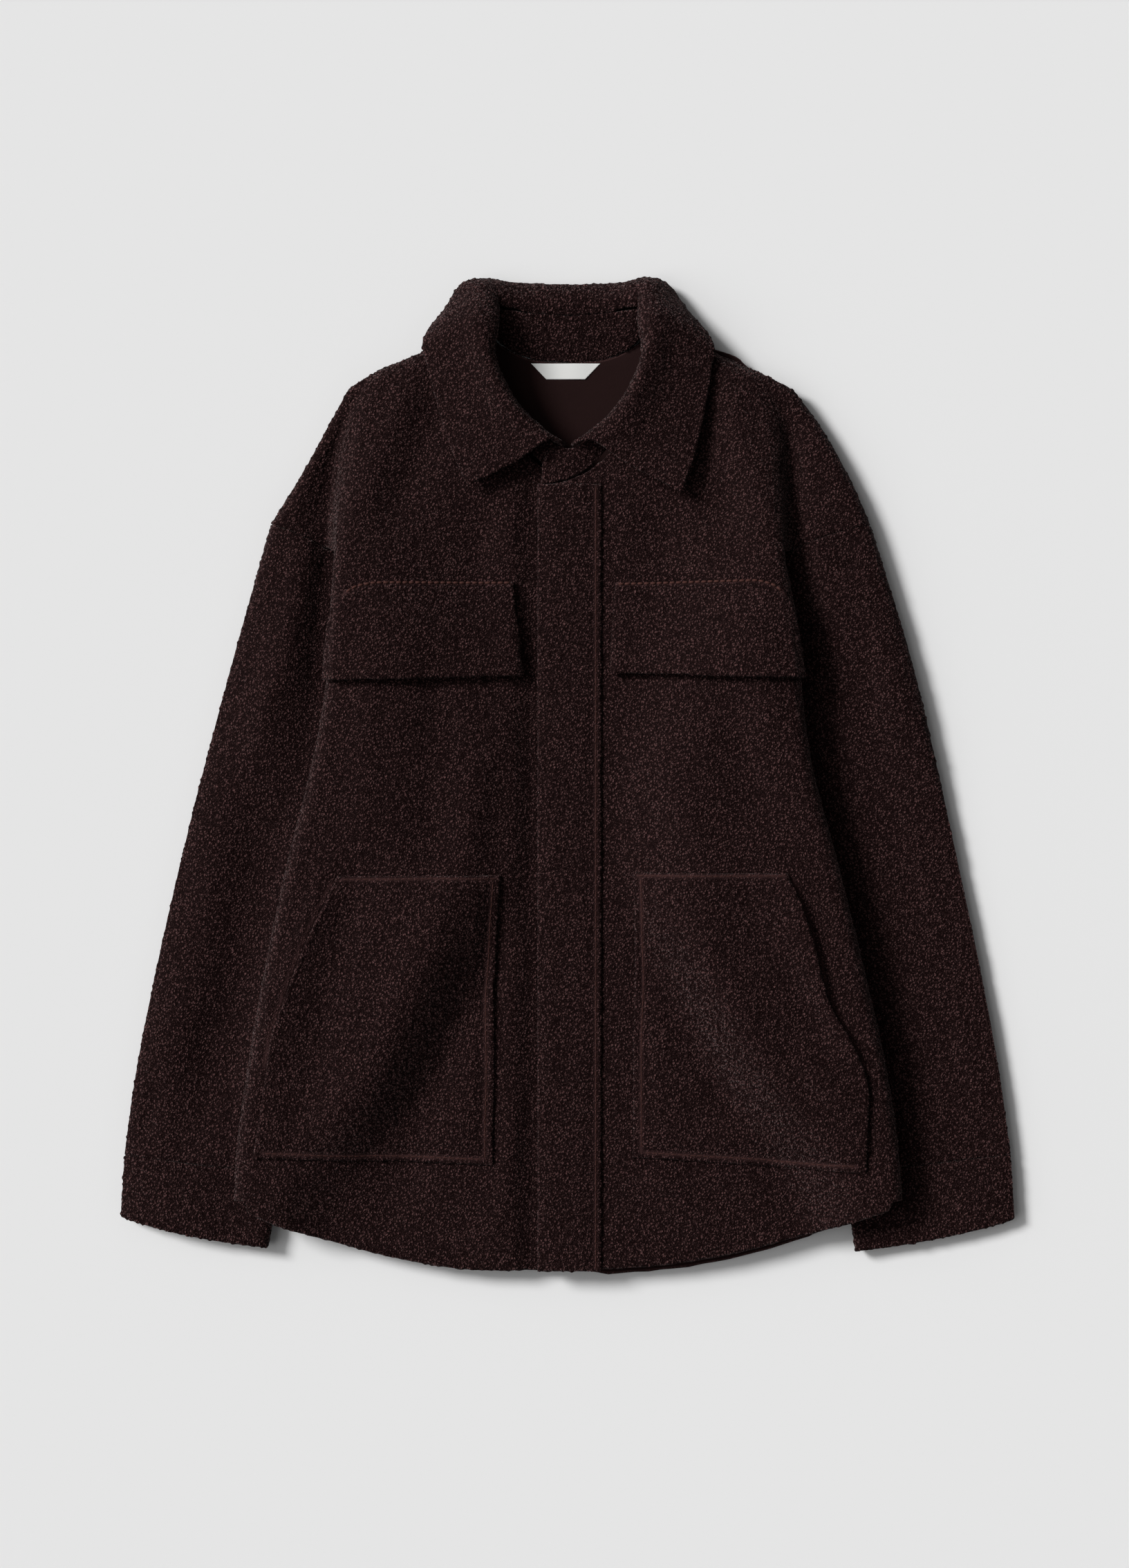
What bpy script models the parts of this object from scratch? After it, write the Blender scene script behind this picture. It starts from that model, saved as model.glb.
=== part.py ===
"""A fleece shacket laid out face up: back, fronts, sleeves, cuffs, collar, placket, flaps and pockets.

Sizes are in millimetres in plan: x runs outward from the centre line on either side, y runs up the garment
from the middle of its length, z is the height above the surface that it lies on.
"""
import bpy
import numpy as np

for old in list(bpy.data.objects):
    bpy.data.objects.remove(old, do_unlink=True)

MM = 0.001
SIGN = {"right": -1, "left": 1}  # the wearer's sides: the right one lies at -x
MIDDLE = (-0.5, 1.7, 0.0)  # middle of the laid-out garment, which goes to the origin

# Cloth and seams
WALL = 4.0
SEAM = 0.3
LAID_ON = 0.3
FLAP_WALL = 3.2

# Sleeves lie flat on the surface, and the body lies over their inner parts
SLEEVE_THICK = 19.0
BODY_OVER_SLEEVE = 19.6
FOLD_REACH = 12.0
WRAP_REACH = 9.0
WRAP_UNDER = 14.0

# The fronts
CREASE_TOP = 319.0
YOKE_LEVEL = 176.0
LAP_TOP = 227.0
LAP_DIP = 5.6
LAP_REACH = 21.0
HEM_CORNER = -330.0
POCKET_EDGE = 55.0
LAST_LEVEL_ROW = -302.0

# The placket
PLACKET_FREE = -24.0
PLACKET_SEAM = 26.0
PLACKET_TOP = 228.0


class Table:
    """A short table with named columns, a row for each section, read between its rows on a smooth curve."""

    def __init__(self, names, *rows):
        self.names = names.split()
        self.rows = np.array(sorted(rows), float)

    def __getitem__(self, name):
        return self.rows[:, self.names.index(name)]

    def at(self, name, where, key=None):
        knots, values = self[key or self.names[0]], self[name]
        if knots[0] > knots[-1]:
            knots, values = knots[::-1], values[::-1]
        slopes = np.gradient(values, knots)
        where = np.clip(where, knots[0], knots[-1])
        k = np.clip(np.searchsorted(knots, where) - 1, 0, len(knots) - 2)
        span = knots[k + 1] - knots[k]
        t = (where - knots[k]) / span
        rise = values[k + 1] - values[k]
        start, end = slopes[k] * span, slopes[k + 1] * span
        square, cube = 3 * rise - 2 * start - end, start + end - 2 * rise
        return values[k] + t * (start + t * (square + t * cube))


SIDE_FOLD = {
    "right": Table(
        "y half_width",
        (319, 150), (285, 166), (230, 178), (176, 183), (120, 187), (77, 189), (13, 200), (-68, 220),
        (-149, 237), (-230, 251), (-301, 260), (-330, 261)),
    "left": Table(
        "y half_width",
        (319, 148), (285, 161), (230, 167), (176, 169), (120, 179), (77, 182), (13, 190), (-68, 211),
        (-149, 231), (-230, 249), (-301, 259), (-330, 261)),
}
SHOULDER = {
    "right": ((68, 353), (134, 326), (173, 305), (185, 283), (209, 239), (234, 198)),
    "left": ((68, 353), (130, 326), (177, 304), (193, 283), (219, 239), (238, 197)),
}
NOTCH = {"right": (234, 198), "left": (238, 197)}
UNDERARM = {"right": (88, 72), "left": (85, 68)}
ARMHOLE_BOW = {"right": 20, "left": 30}

SLEEVE = {
    "right": Table(
        "v outer_x outer_y inner_x inner_y",
        (0.00, 234, 198, 88, 72), (0.25, 266, 84, 78, -15), (0.50, 299, -42, 96, -105),
        (0.72, 326, -160, 140, -195), (0.88, 341, -238, 184, -262), (1.00, 349, -296, 224, -311)),
    "left": Table(
        "v outer_x outer_y inner_x inner_y",
        (0.00, 238, 197, 85, 68), (0.25, 272, 84, 76, -15), (0.50, 301, -42, 94, -105),
        (0.72, 326, -160, 138, -195), (0.88, 340, -238, 178, -262), (1.00, 348, -296, 215, -311)),
}
CUFF = {
    "right": Table(
        "v outer_x outer_y inner_x inner_y",
        (0, 349, -296, 224, -311), (1, 352, -345, 234, -369)),
    "left": Table(
        "v outer_x outer_y inner_x inner_y",
        (0, 348, -296, 215, -311), (1, 351, -347, 224, -372)),
}
CUFF_THICK = 18.0
CUFF_DEPTH = 50.0

HEM = {
    "right": Table(
        "x y",
        (-24, -386), (25, -386), (82, -385), (131, -377), (195, -360), (228, -349), (252, -337), (261, -330)),
    "left": Table(
        "x y",
        (-24, -387), (26, -385), (80, -381), (129, -373), (177, -360), (231, -344), (252, -336), (261, -330)),
}
BACK_HEM_DROP = {"right": 0.0, "left": 5.5}
BACK_RAMP = 26.0

FRONT_HEIGHT = Table(
    "y centre over_sleeve ramp_x ramp_half",
    (353, 21, 22, 150, 60), (304, 23, 24, 145, 60), (230, 26, 33, 130, 55), (176, 26, 40, 118, 50),
    (67, 26, 42, 84, 46), (-14, 26, 42, 66, 38), (-95, 26, 42, 68, 34), (-171, 25, 42, 98, 34),
    (-236, 24, 41, 135, 34), (-300, 22, 39, 186, 32), (-330, 21, 38, 200, 30), (-386, 20, 34, 212, 26))
CAP_HEIGHT = 19.0

# Soft folds of the fronts: both ends, the width across, and the height (below nought, a trough)
FOLDS = {
    "right": (
        (120, 318, 168, 196, 20, 4.0), (96, 300, 140, 190, 22, -2.5), (150, 120, 172, 60, 24, 2.5),
        (120, 60, 186, -40, 30, -3.5), (90, 20, 150, -110, 28, 2.5), (62, -85, 158, -277, 28, 3.5),
        (30, -110, 110, -290, 28, -2.5), (160, -60, 216, -300, 28, -3.5), (60, 215, 76, 160, 20, -2.0)),
    "left": (
        (120, 316, 156, 190, 20, 4.0), (90, 300, 128, 185, 22, -2.5), (140, 150, 168, 40, 26, 2.5),
        (110, 60, 180, -50, 30, -3.5), (60, 30, 120, -90, 28, 2.5), (74, -104, 146, -221, 28, 3.5),
        (110, -110, 190, -290, 28, -3.5), (60, 210, 80, 165, 20, -2.0)),
}

# Folds of a sleeve: section, place across (nought at the outer edge), length along, width across, height
SLEEVE_FOLDS = {
    "right": ((0.12, 0.10, 0.16, 0.08, 3.0), (0.30, 0.22, 0.20, 0.07, -3.5), (0.40, 0.13, 0.18, 0.06, 3.0),
              (0.62, 0.24, 0.22, 0.07, -3.5), (0.72, 0.12, 0.16, 0.08, 3.0), (0.90, 0.30, 0.12, 0.08, -3.0)),
    "left": ((0.14, 0.10, 0.14, 0.08, 3.0), (0.28, 0.20, 0.18, 0.07, -3.5), (0.46, 0.14, 0.20, 0.06, 3.0),
             (0.60, 0.22, 0.20, 0.07, -3.5), (0.78, 0.13, 0.16, 0.08, 3.0), (0.92, 0.34, 0.10, 0.08, -3.0)),
}


def smooth(t):
    """Rises from 0 to 1 with level ends."""
    t = np.clip(t, 0, 1)
    return t * t * (3 - 2 * t)


def mix(a, b, t):
    return a + (b - a) * t


def along(points, t):
    """Points at fractions t of the length of a smooth curve through the given ones."""
    points = np.asarray(points, float)
    reach = np.r_[0, np.cumsum(np.linalg.norm(np.diff(points, axis=0), axis=1))]
    reach /= reach[-1]
    columns = [Table("t value", *zip(reach, c)).at("value", t) for c in points.T]
    return np.stack(columns, axis=-1)


def armhole(side, q):
    """The armhole seam in plan: q runs from the shoulder notch (0) to the underarm (1)."""
    notch, underarm = np.array(NOTCH[side], float), np.array(UNDERARM[side], float)
    line = underarm - notch
    rise = np.array([line[1], -line[0]]) / np.hypot(*line)
    q = np.asarray(q, float)[..., None]
    return notch + line * q + rise * ARMHOLE_BOW[side] * 4 * q * (1 - q)


def armhole_rise(side):
    line = np.array(UNDERARM[side], float) - NOTCH[side]
    return np.array([line[1], -line[0]]) / np.hypot(*line)


def armhole_at(side, x):
    """Where along the armhole seam a given distance from the centre line lies."""
    q = np.linspace(0, 1, 400)
    return np.interp(-np.asarray(x, float), -armhole(side, q)[:, 0], q)


def outline_distance(side, x, y):
    """Distance in plan to the folded outline of the shoulder, from the neck to the notch."""
    ends = along(SHOULDER[side], np.linspace(0, 1, 40))
    best = np.full(np.shape(x), 1e9)
    for a, b in zip(ends[:-1], ends[1:]):
        run = b - a
        t = np.clip(((x - a[0]) * run[0] + (y - a[1]) * run[1]) / run.dot(run), 0, 1)
        best = np.minimum(best, np.hypot(x - a[0] - t * run[0], y - a[1] - t * run[1]))
    return best


def shoulder_roll(side, x, y):
    """Nought on the shoulder's folded outline, 1 where the cloth lies level."""
    t = np.clip(outline_distance(side, x, y) / (SLEEVE_THICK / 2), 0, 1)
    return np.sqrt(1 - (1 - t) ** 2)


def fold_relief(side, x, y):
    """The largest folds of the fronts, as soft ridges and troughs."""
    relief = np.zeros(np.shape(x))
    for x1, y1, x2, y2, width, height in FOLDS[side]:
        run = np.array([x2 - x1, y2 - y1], float)
        t = ((x - x1) * run[0] + (y - y1) * run[1]) / run.dot(run)
        across = ((x - x1) * run[1] - (y - y1) * run[0]) / np.hypot(*run)
        fade = smooth((t + 0.12) / 0.35) * smooth((1.12 - t) / 0.35)
        relief = relief + height * fade * np.exp(-(across / width) ** 2 * 2)
    return relief


def fold_line(side, y):
    return SIDE_FOLD[side].at("half_width", y)


def front_top(side, x, y):
    """Height of a front's outer face, before it rolls over at the side."""
    table = FRONT_HEIGHT
    centre, over = table.at("centre", y), table.at("over_sleeve", y)
    ramp = (x - table.at("ramp_x", y)) / table.at("ramp_half", y)
    height = mix(centre, over, smooth(0.5 + 0.5 * ramp))
    calm = smooth((fold_line(side, y) - x) / 22) * smooth((x - 30) / 20)
    calm = calm * smooth((outline_distance(side, x, y) - 4) / 16)
    height = height + fold_relief(side, x, y) * calm
    if side == "right":
        height = height - LAP_DIP * smooth((46 - x) / 20)
    return height


def side_roll(side, x, y):
    """A front's outer face out to the side fold, where it turns down."""
    fold = fold_line(side, y)
    top = front_top(side, np.minimum(x, fold - FOLD_REACH), y)
    turn = np.clip((x - fold + FOLD_REACH) / FOLD_REACH, 0, 1)
    return top - (top - turn_level(top)) * (1 - np.sqrt(1 - turn ** 2))


def turn_level(top):
    return (top + BODY_OVER_SLEEVE) / 2


# The front neck edge, from the shoulder to the centre front
NECK_FRONT = (
    (68, 353), (66, 330), (60, 305), (48, 277), (30, 250), (8, 234), (-8, 229), (-LAP_REACH, LAP_TOP))
BACK_NECK_LEVEL = 325.0
NECK_BACK = ((68, 353), (52, 338), (30, 328), (0, BACK_NECK_LEVEL))

# Rows of the shoulders down each panel, and how far along the neck edge each one starts
FRONT_ROWS = np.array([0, 0.008, 0.03, 0.1, 0.2, 0.31, 0.42, 0.52, 0.61, 0.69, 0.77, 0.89, 1])
FRONT_NECK_SHARE = 0.77
FRONT_NECK_SHARES = FRONT_ROWS[FRONT_ROWS <= FRONT_NECK_SHARE] / FRONT_NECK_SHARE
BACK_ROWS = np.array([0, 0.008, 0.03, 0.09, 0.18, 0.27, 0.36, 0.52, 0.7, 0.88, 1])
BACK_NECK_SHARE = 0.36
BACK_NECK_SHARES = BACK_ROWS[BACK_ROWS <= BACK_NECK_SHARE] / BACK_NECK_SHARE


class Sheet:
    """One layer of cloth: grids of points on one face, joined along the edges that they share."""

    def __init__(self):
        self.points, self.faces, self.level = [], [], set()

    def grid(self, points, shared=None, level=None):
        """Adds a grid of points. shared holds the numbers of points that it has in common with another."""
        rows, columns = points.shape[:2]
        number = np.full((rows, columns), -1) if shared is None else shared.copy()
        for i in range(rows):
            for j in range(columns):
                if number[i, j] < 0:
                    number[i, j] = len(self.points)
                    self.points.append(points[i, j])
                if level is not None and level[i, j]:
                    self.level.add(int(number[i, j]))
        for i in range(rows - 1):
            for j in range(columns - 1):
                ring = [number[i, j], number[i + 1, j], number[i + 1, j + 1], number[i, j + 1]]
                ring = [n for k, n in enumerate(ring) if n != ring[k - 1]]
                if len(ring) > 2:
                    self.faces.append([int(n) for n in ring])
        return number

    def normals(self):
        total = np.zeros((len(self.points), 3))
        points = np.array(self.points)
        for face in self.faces:
            corners = points[face]
            area = np.zeros(3)
            for k in range(1, len(face) - 1):
                area += np.cross(corners[k] - corners[0], corners[k + 1] - corners[0])
            total[face] += area
        for n in self.level:
            total[n, 2] = 0
        return total / np.linalg.norm(total, axis=1)[:, None]

    def solid(self, name, colour, side=None, near=0.0, far=WALL):
        """Thickens the layer between two distances along its normals into a closed wall."""
        points, normal = np.array(self.points), self.normals()
        both = np.vstack([points + normal * near, points + normal * far])
        count = len(points)
        faces = [list(reversed(f)) for f in self.faces] + [[n + count for n in f] for f in self.faces]
        edges = {(f[k - 1], f[k]) for f in self.faces for k in range(len(f))}
        faces += [[a, b, b + count, a + count] for a, b in edges if (b, a) not in edges]
        if side == "right":
            both[:, 0] *= -1
        if (side == "right") != (far < near):
            faces = [list(reversed(f)) for f in faces]
        return add_object(name, (both - MIDDLE) * MM, faces, colour)


def add_object(name, points, faces, colour):
    mesh = bpy.data.meshes.new(name)
    mesh.from_pydata([tuple(p) for p in points], [], faces)
    mesh.validate()
    mesh.shade_smooth()
    mesh.set_sharp_from_angle(angle=0.9)
    made = bpy.data.objects.new(name, mesh)
    bpy.context.collection.objects.link(made)
    material = bpy.data.materials.new(name)
    material.use_nodes = True
    shader = material.node_tree.nodes["Principled BSDF"]
    shader.inputs["Base Color"].default_value = (*colour, 1)
    shader.inputs["Roughness"].default_value = 0.95
    shader.inputs["Metallic"].default_value = 0.0
    mesh.materials.append(material)
    return made


FLEECE = (0.017, 0.0085, 0.008)
LABEL_CLOTH = (0.62, 0.62, 0.60)


def turned(count):
    """Places across a rolled edge, from the level cloth (0) to its outermost line (1)."""
    return np.sin(np.linspace(0, np.pi / 2, count + 1))[1:]


def front_yoke_rows(side, v, inner, roll, foot, cap, outer):
    """The front above the armhole's visible end: rows from the shoulder down, in plan."""
    crease_y = mix(CREASE_TOP, YOKE_LEVEL, v)
    crease = np.stack([fold_line(side, crease_y), crease_y], axis=-1)
    neck = np.where(
        (v < FRONT_NECK_SHARE)[:, None],
        along(NECK_FRONT, np.minimum(v / FRONT_NECK_SHARE, 1)),
        np.stack([np.full(len(v), -LAP_REACH),
                  mix(LAP_TOP, YOKE_LEVEL, (v - FRONT_NECK_SHARE) / (1 - FRONT_NECK_SHARE))], -1))
    outline = along(SHOULDER[side][2:], v)
    start = armhole_at(side, crease[-1, 0])
    rows = []
    for a, c, f, share in zip(neck, crease, outline, v):
        inward, outward = (a - c) / np.linalg.norm(a - c), (f - c) / np.linalg.norm(f - c)
        b, e = c + inward * FOLD_REACH, f - outward * SLEEVE_THICK / 2
        d = c + outward * WRAP_REACH
        plan = [a + (b - a) * t for t in inner] + [b + (c - b) * t for t in roll]
        plan += [c + (d - c) * t for t in foot] + [d + (e - d) * t for t in cap]
        plan += [e + (f - e) * t for t in outer]
        plan = np.array(plan)
        beyond = len(inner) + len(roll) - 1
        g = np.linalg.norm(plan[beyond:] - c, axis=1) / np.linalg.norm(f - c)
        seam_line = armhole(side, start * (1 - g))
        straight = crease[-1] + (outline[-1] - crease[-1]) * g[:, None]
        plan[beyond:] += share ** 2 * (seam_line - straight)
        rows.append(plan)
    return np.array(rows)


def front_yoke_height(side, plan, v, first_roll, columns):
    """Heights of those rows: the body, the crease, the lower cap of the shoulder and its rolled outline."""
    x, y = plan[..., 0], plan[..., 1]
    crease_x = plan[:, columns["crease"], 0][:, None]
    crease_y = plan[:, columns["crease"], 1][:, None]
    top_x, top_y = plan[:, first_roll, 0][:, None], plan[:, first_roll, 1][:, None]
    top = front_top(side, x, y)
    edge_top = front_top(side, top_x, top_y)
    drop = edge_top - CAP_HEIGHT
    away = np.hypot(x - crease_x, y - crease_y) * np.sign(x - crease_x + 1e-9)
    inner_turn = np.clip(1 + away / FOLD_REACH, 0, 1)
    outer_turn = np.clip(away / WRAP_REACH, 0, 1)
    arc = np.where(
        away <= 0,
        edge_top - drop / 2 * (1 - np.sqrt(np.clip(1 - inner_turn ** 2, 0, 1))),
        CAP_HEIGHT + drop / 2 * (1 - np.sqrt(np.clip(1 - (1 - outer_turn) ** 2, 0, 1))))
    step = edge_top - drop * smooth((away + FOLD_REACH) / (FOLD_REACH + WRAP_REACH))
    share = smooth((v - 0.45) / 0.55)[:, None]
    level = np.where(away < -FOLD_REACH, top, mix(step, arc, share))
    half = SLEEVE_THICK / 2
    return half + (level - half) * shoulder_roll(side, x, y)


def body_grid(side):
    """The front's outer face below the armhole.

    Its rows lie level down to the pockets' foot and then turn into the hem. Its columns run from the lapped
    edge, past the pocket's inner edge, to the side fold.
    """
    at_fold = np.linspace(YOKE_LEVEL, LAST_LEVEL_ROW, LEVEL_ROWS)
    at_fold = np.r_[at_fold, mix(LAST_LEVEL_ROW, HEM_CORNER, HEM_SHARES)]
    fold = fold_line(side, at_fold)
    edge = (fold - FOLD_REACH)[:, None]
    near = np.linspace(-LAP_REACH, POCKET_EDGE, 5)[None, :-1] + 0 * edge
    far = POCKET_EDGE + (edge - POCKET_EDGE) * np.linspace(0, 1, 12)[None, :]
    x = np.hstack([near, far, edge + FOLD_REACH * turned(3)[None, :]])
    y = at_fold[:, None] + 0 * x
    hem = HEM[side].at("y", x[-1])
    y[-len(HEM_SHARES):] = LAST_LEVEL_ROW + (hem - LAST_LEVEL_ROW)[None, :] * HEM_SHARES[:, None]
    y[:, -3:] = at_fold[:, None]
    return x, y, side_roll(side, x, y)


HEM_SHARES = np.array([0.34, 0.68, 1.0])
LEVEL_ROWS = 20
LANES = 16


def build_front(side):
    sheet = Sheet()
    x, y, z = body_grid(side)
    inner = (x[0, :LANES] - x[0, 0]) / (x[0, LANES - 1] - x[0, 0])
    roll = turned(3)
    foot = 1 - np.cos(np.linspace(0, np.pi / 2, 4))[1:]
    cap = np.array([0.33, 0.67, 1.0])
    outer = turned(3)
    crease = len(inner) + len(roll) - 1
    v = FRONT_ROWS
    plan = front_yoke_rows(side, v, inner, roll, foot, cap, outer)
    height = front_yoke_height(side, plan, v, len(inner) - 1, {"crease": crease})
    part_way = np.linspace(0, 1, plan.shape[1] - crease)[:, None]
    plan[-1, crease:] += armhole_rise(side) * (SEAM / 2 + 0.8 * part_way)
    yoke = np.dstack([plan, height])
    level = np.zeros(height.shape, bool)
    level[0, :] = True
    level[:, -1] = True
    numbers = sheet.grid(yoke, level=level)

    body = np.dstack([x, y, z])
    shared = np.full(x.shape, -1)
    shared[0] = numbers[-1, :crease + 1]
    numbers_body = sheet.grid(body, shared)

    turn = np.linspace(0, np.pi / 2, 4)
    at_fold, fold, edge_level = y[:, -1], x[:, -1], z[:, -1]
    reach = np.r_[WRAP_REACH * (1 - np.cos(turn)), WRAP_REACH + WRAP_UNDER]
    fall = (edge_level - BODY_OVER_SLEEVE)[:, None]
    wrap_z = edge_level[:, None] - fall * np.r_[np.sin(turn), 1][None, :]
    start = armhole(side, armhole_at(side, fold[0] - reach))
    start[:, 1] -= SEAM / 2
    fade = np.clip(1 - (YOKE_LEVEL - at_fold) / 150, 0, 1) ** 1.5
    wrap_y = at_fold[:, None] + (start[:, 1] - YOKE_LEVEL)[None, :] * fade[:, None]
    wrap_x = fold_line(side, wrap_y) - reach[None, :]
    wrap_x[:, -1] += SEAM
    wrap = np.dstack([wrap_x, wrap_y, wrap_z])
    shared = np.full(wrap_x.shape, -1)
    shared[:, 0] = numbers_body[:, -1]
    sheet.grid(wrap, shared)
    return sheet.solid("front_" + side, FLEECE, side, 0.0, -WALL)


def wrap_edge(side, y):
    return fold_line(side, y) - WRAP_REACH - WRAP_UNDER - SEAM


def build_back():
    """The back lies flat in the middle, climbs onto the sleeves, and is slit where each armhole is."""
    sheet = Sheet()
    lanes = np.array([0, 0.33, 0.67, 1])
    level_under = UNDERARM["right"][1] - 3.0
    centre = {}
    for side in ("right", "left"):
        sign = SIGN[side]
        places = np.array([0, 0.12, 0.25, 0.4, 0.55, 0.7, 0.82, 0.91, 0.97, 1])
        top = along([SHOULDER[side][0], (134, 325.6), SHOULDER[side][2]], places)
        start_x = UNDERARM[side][0] - BACK_RAMP
        middle = np.stack([lanes * start_x, np.full(4, level_under)], axis=-1)
        q = np.array([1.0, 0.78, 0.55, 0.34, 0.15, 0.0])
        lower = np.array(NOTCH[side]) + (np.array(UNDERARM[side]) - NOTCH[side]) * q[:, None]
        bottom = np.vstack([middle, lower])
        v = BACK_ROWS
        neck = along(NECK_BACK, np.minimum(v / BACK_NECK_SHARE, 1))
        low = v > BACK_NECK_SHARE
        down = (v[low] - BACK_NECK_SHARE) / (1 - BACK_NECK_SHARE)
        neck[low] = np.stack([0 * down, mix(BACK_NECK_LEVEL, level_under, down)], -1)
        outline = along(SHOULDER[side][2:], v)
        u = np.linalg.norm(top - top[0], axis=1) / np.linalg.norm(top[-1] - top[0])
        u = mix(u, np.linspace(0, 1, len(u)), 0.5)
        grid = np.zeros((len(v), len(u), 2))
        for i, t in enumerate(v):
            for j, s in enumerate(u):
                corners = mix(mix(top[0], top[-1], s), mix(bottom[0], bottom[-1], s), t)
                grid[i, j] = mix(top[j], bottom[j], t) + mix(neck[i], outline[i], s) - corners
        grid[-1, len(lanes):] += armhole_rise(side) * (SEAM + 1.2 * (1 - q) ** 2)[:, None]
        x, y = grid[..., 0], grid[..., 1]
        z = (SLEEVE_THICK - SEAM) / 2 * (1 - shoulder_roll(side, x, y))
        level = np.zeros(z.shape, bool)
        level[0], level[:, -1] = True, True
        points = np.dstack([x * sign, y, z])
        centre[side] = (points, level, v)

    columns = {}
    numbers = {}
    for side in ("right", "left"):
        points, level, v = centre[side]
        if side == "left":
            points, level = points[:, ::-1], level[:, ::-1]
        shared = np.full(points.shape[:2], -1)
        first = int(np.argmax(v >= BACK_NECK_SHARE))
        if side == "left":
            shared[first:, -1] = columns["right"][first:]
        made = sheet.grid(points, shared, level)
        columns[side] = made[:, 0] if side == "right" else made[:, -1]
        numbers[side] = made if side == "right" else made[:, ::-1]

    skirt = {}
    for side in ("right", "left"):
        sign = SIGN[side]
        share = np.linspace(0, 1, 17)
        ramp = np.array([0.0, 0.35, 0.65, 1.0])
        beyond = np.array([0.3, 0.65, 1.0])
        sleeve_edge = SLEEVE[side]

        def lane_x(y):
            inner = sleeve_edge.at("inner_x", y, key="inner_y")
            foot, top = inner - BACK_RAMP, inner + 2
            edge = wrap_edge(side, y)
            parts = [lanes[:-1] * foot, foot + ramp * (top - foot), top + beyond * (edge - top)]
            return np.concatenate(parts)

        count = len(lanes) - 1 + len(ramp) + len(beyond)
        top_y = np.full(count, level_under)
        q = np.linspace(1, 0, 300)
        seam_points = armhole(side, q) - armhole_rise(side) * SEAM / 2
        for j in range(len(lanes) - 1 + len(ramp) - 1, count):
            lane = np.array([lane_x(py)[j] - px for px, py in seam_points])
            top_y[j] = seam_points[int(np.argmin(np.abs(lane))), 1]
        rows = []
        for t in share:
            x = np.zeros(count)
            y = top_y.copy()
            for _ in range(4):
                x = np.array([lane_x(y[j])[j] for j in range(count)])
                end_x = lane_x(HEM_CORNER)
                drop = BACK_HEM_DROP[side] * smooth((230 - end_x) / 60)
                y = mix(top_y, HEM[side].at("y", end_x) - drop, t)
            inner = sleeve_edge.at("inner_x", y, key="inner_y")
            z = BODY_OVER_SLEEVE * smooth((x - inner + BACK_RAMP) / (BACK_RAMP + 2))
            rows.append(np.stack([x * sign, y, z], axis=-1))
        skirt[side] = np.array(rows)

    skirt_columns = {}
    for side in ("right", "left"):
        points = skirt[side]
        shared = np.full(points.shape[:2], -1)
        shared[0, :4] = numbers[side][-1, :4]
        if side == "left":
            shared[:, 0] = skirt_columns["right"]
        flipped = side == "left"
        made = sheet.grid(points[:, ::-1] if flipped else points, shared[:, ::-1] if flipped else shared)
        skirt_columns[side] = made[:, -1] if flipped else made[:, 0]
    return sheet.solid("back", FLEECE, None, 0.0, -WALL)


def ring_place(turn, width, thick):
    """Across and height of a flattened tube: turn is 0-1 up the outer edge, 1-2 over, 2-3 down, 3-4 under."""
    half = thick / 2
    part, t = int(turn) % 4, turn % 1
    angle = (t - 0.5) * np.pi
    if part == 0:
        return half - half * np.cos(angle), half + half * np.sin(angle)
    if part == 1:
        return mix(half, width - half, t), thick
    if part == 2:
        return width - half + half * np.cos(angle), half - half * np.sin(angle)
    return mix(width - half, half, t), 0.0


SLEEVE_TURNS = np.r_[
    np.linspace(0, 1, 4)[:-1], 1 + np.array([0, .1, .2, .3, .42, .6, .8]), 2 + np.linspace(0, 1, 4)[:-1],
    3 + np.linspace(0, 1, 5)[:-1]]


def tube(name, side, table, rows, thick, turns, start_shift=None, folds=(), bow=True, curve_end=0.0):
    """A closed wall round the flattened tube of a sleeve or a cuff, open at both ends."""
    rings = []
    for v in rows:
        outer = np.array([table.at("outer_x", v), table.at("outer_y", v)])
        inner = np.array([table.at("inner_x", v), table.at("inner_y", v)])
        line = inner - outer
        width = np.hypot(*line)
        rise = np.array([line[1], -line[0]]) / width
        ring = []
        for turn in turns:
            across, height = ring_place(turn, width, thick)
            q = across / width
            place = outer + line * q
            if bow:
                bend = ARMHOLE_BOW[side] * smooth(height / thick * 1.6 - 0.4) * max(0.0, 1 - v / 0.35) ** 2
                place = place + rise * bend * 4 * q * (1 - q)
            place = place - rise * curve_end * 4 * q * (1 - q) * v
            if 1 <= turn < 2:
                seen = smooth((place[0] - fold_line(side, max(place[1], HEM_CORNER)) - 4) / 12)
                for fold_v, fold_q, run, spread, rise_by in folds:
                    near_v, near_q = (v - fold_v) / run, (q - fold_q) / spread
                    height += seen * rise_by * np.exp(-near_v ** 2 * 2 - near_q ** 2)
            ring.append([*place, height])
        rings.append(ring)
    rings = np.array(rings)
    if start_shift is not None:
        rings[0, :, :2] -= start_shift
    sheet = Sheet()
    closed = np.concatenate([rings, rings[:, :1]], axis=1)[:, ::-1]
    count = rings.shape[1]
    shared = np.arange(rings.shape[0] * count).reshape(-1, count)
    shared = np.concatenate([shared, shared[:, :1]], axis=1)[:, ::-1]
    sheet.points = list(rings.reshape(-1, 3))
    sheet.grid(closed, shared)
    return sheet.solid(name, FLEECE, side, 0.0, -WALL)


def build_sleeve(side):
    rows = np.array([0, .05, .12, .2, .28, .36, .44, .52, .6, .68, .76, .84, .92, 1])
    shift = armhole_rise(side) * SEAM / 2
    name, folds = "sleeve_" + side, SLEEVE_FOLDS[side]
    return tube(name, side, SLEEVE[side], rows, SLEEVE_THICK, SLEEVE_TURNS, shift, folds)


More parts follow.
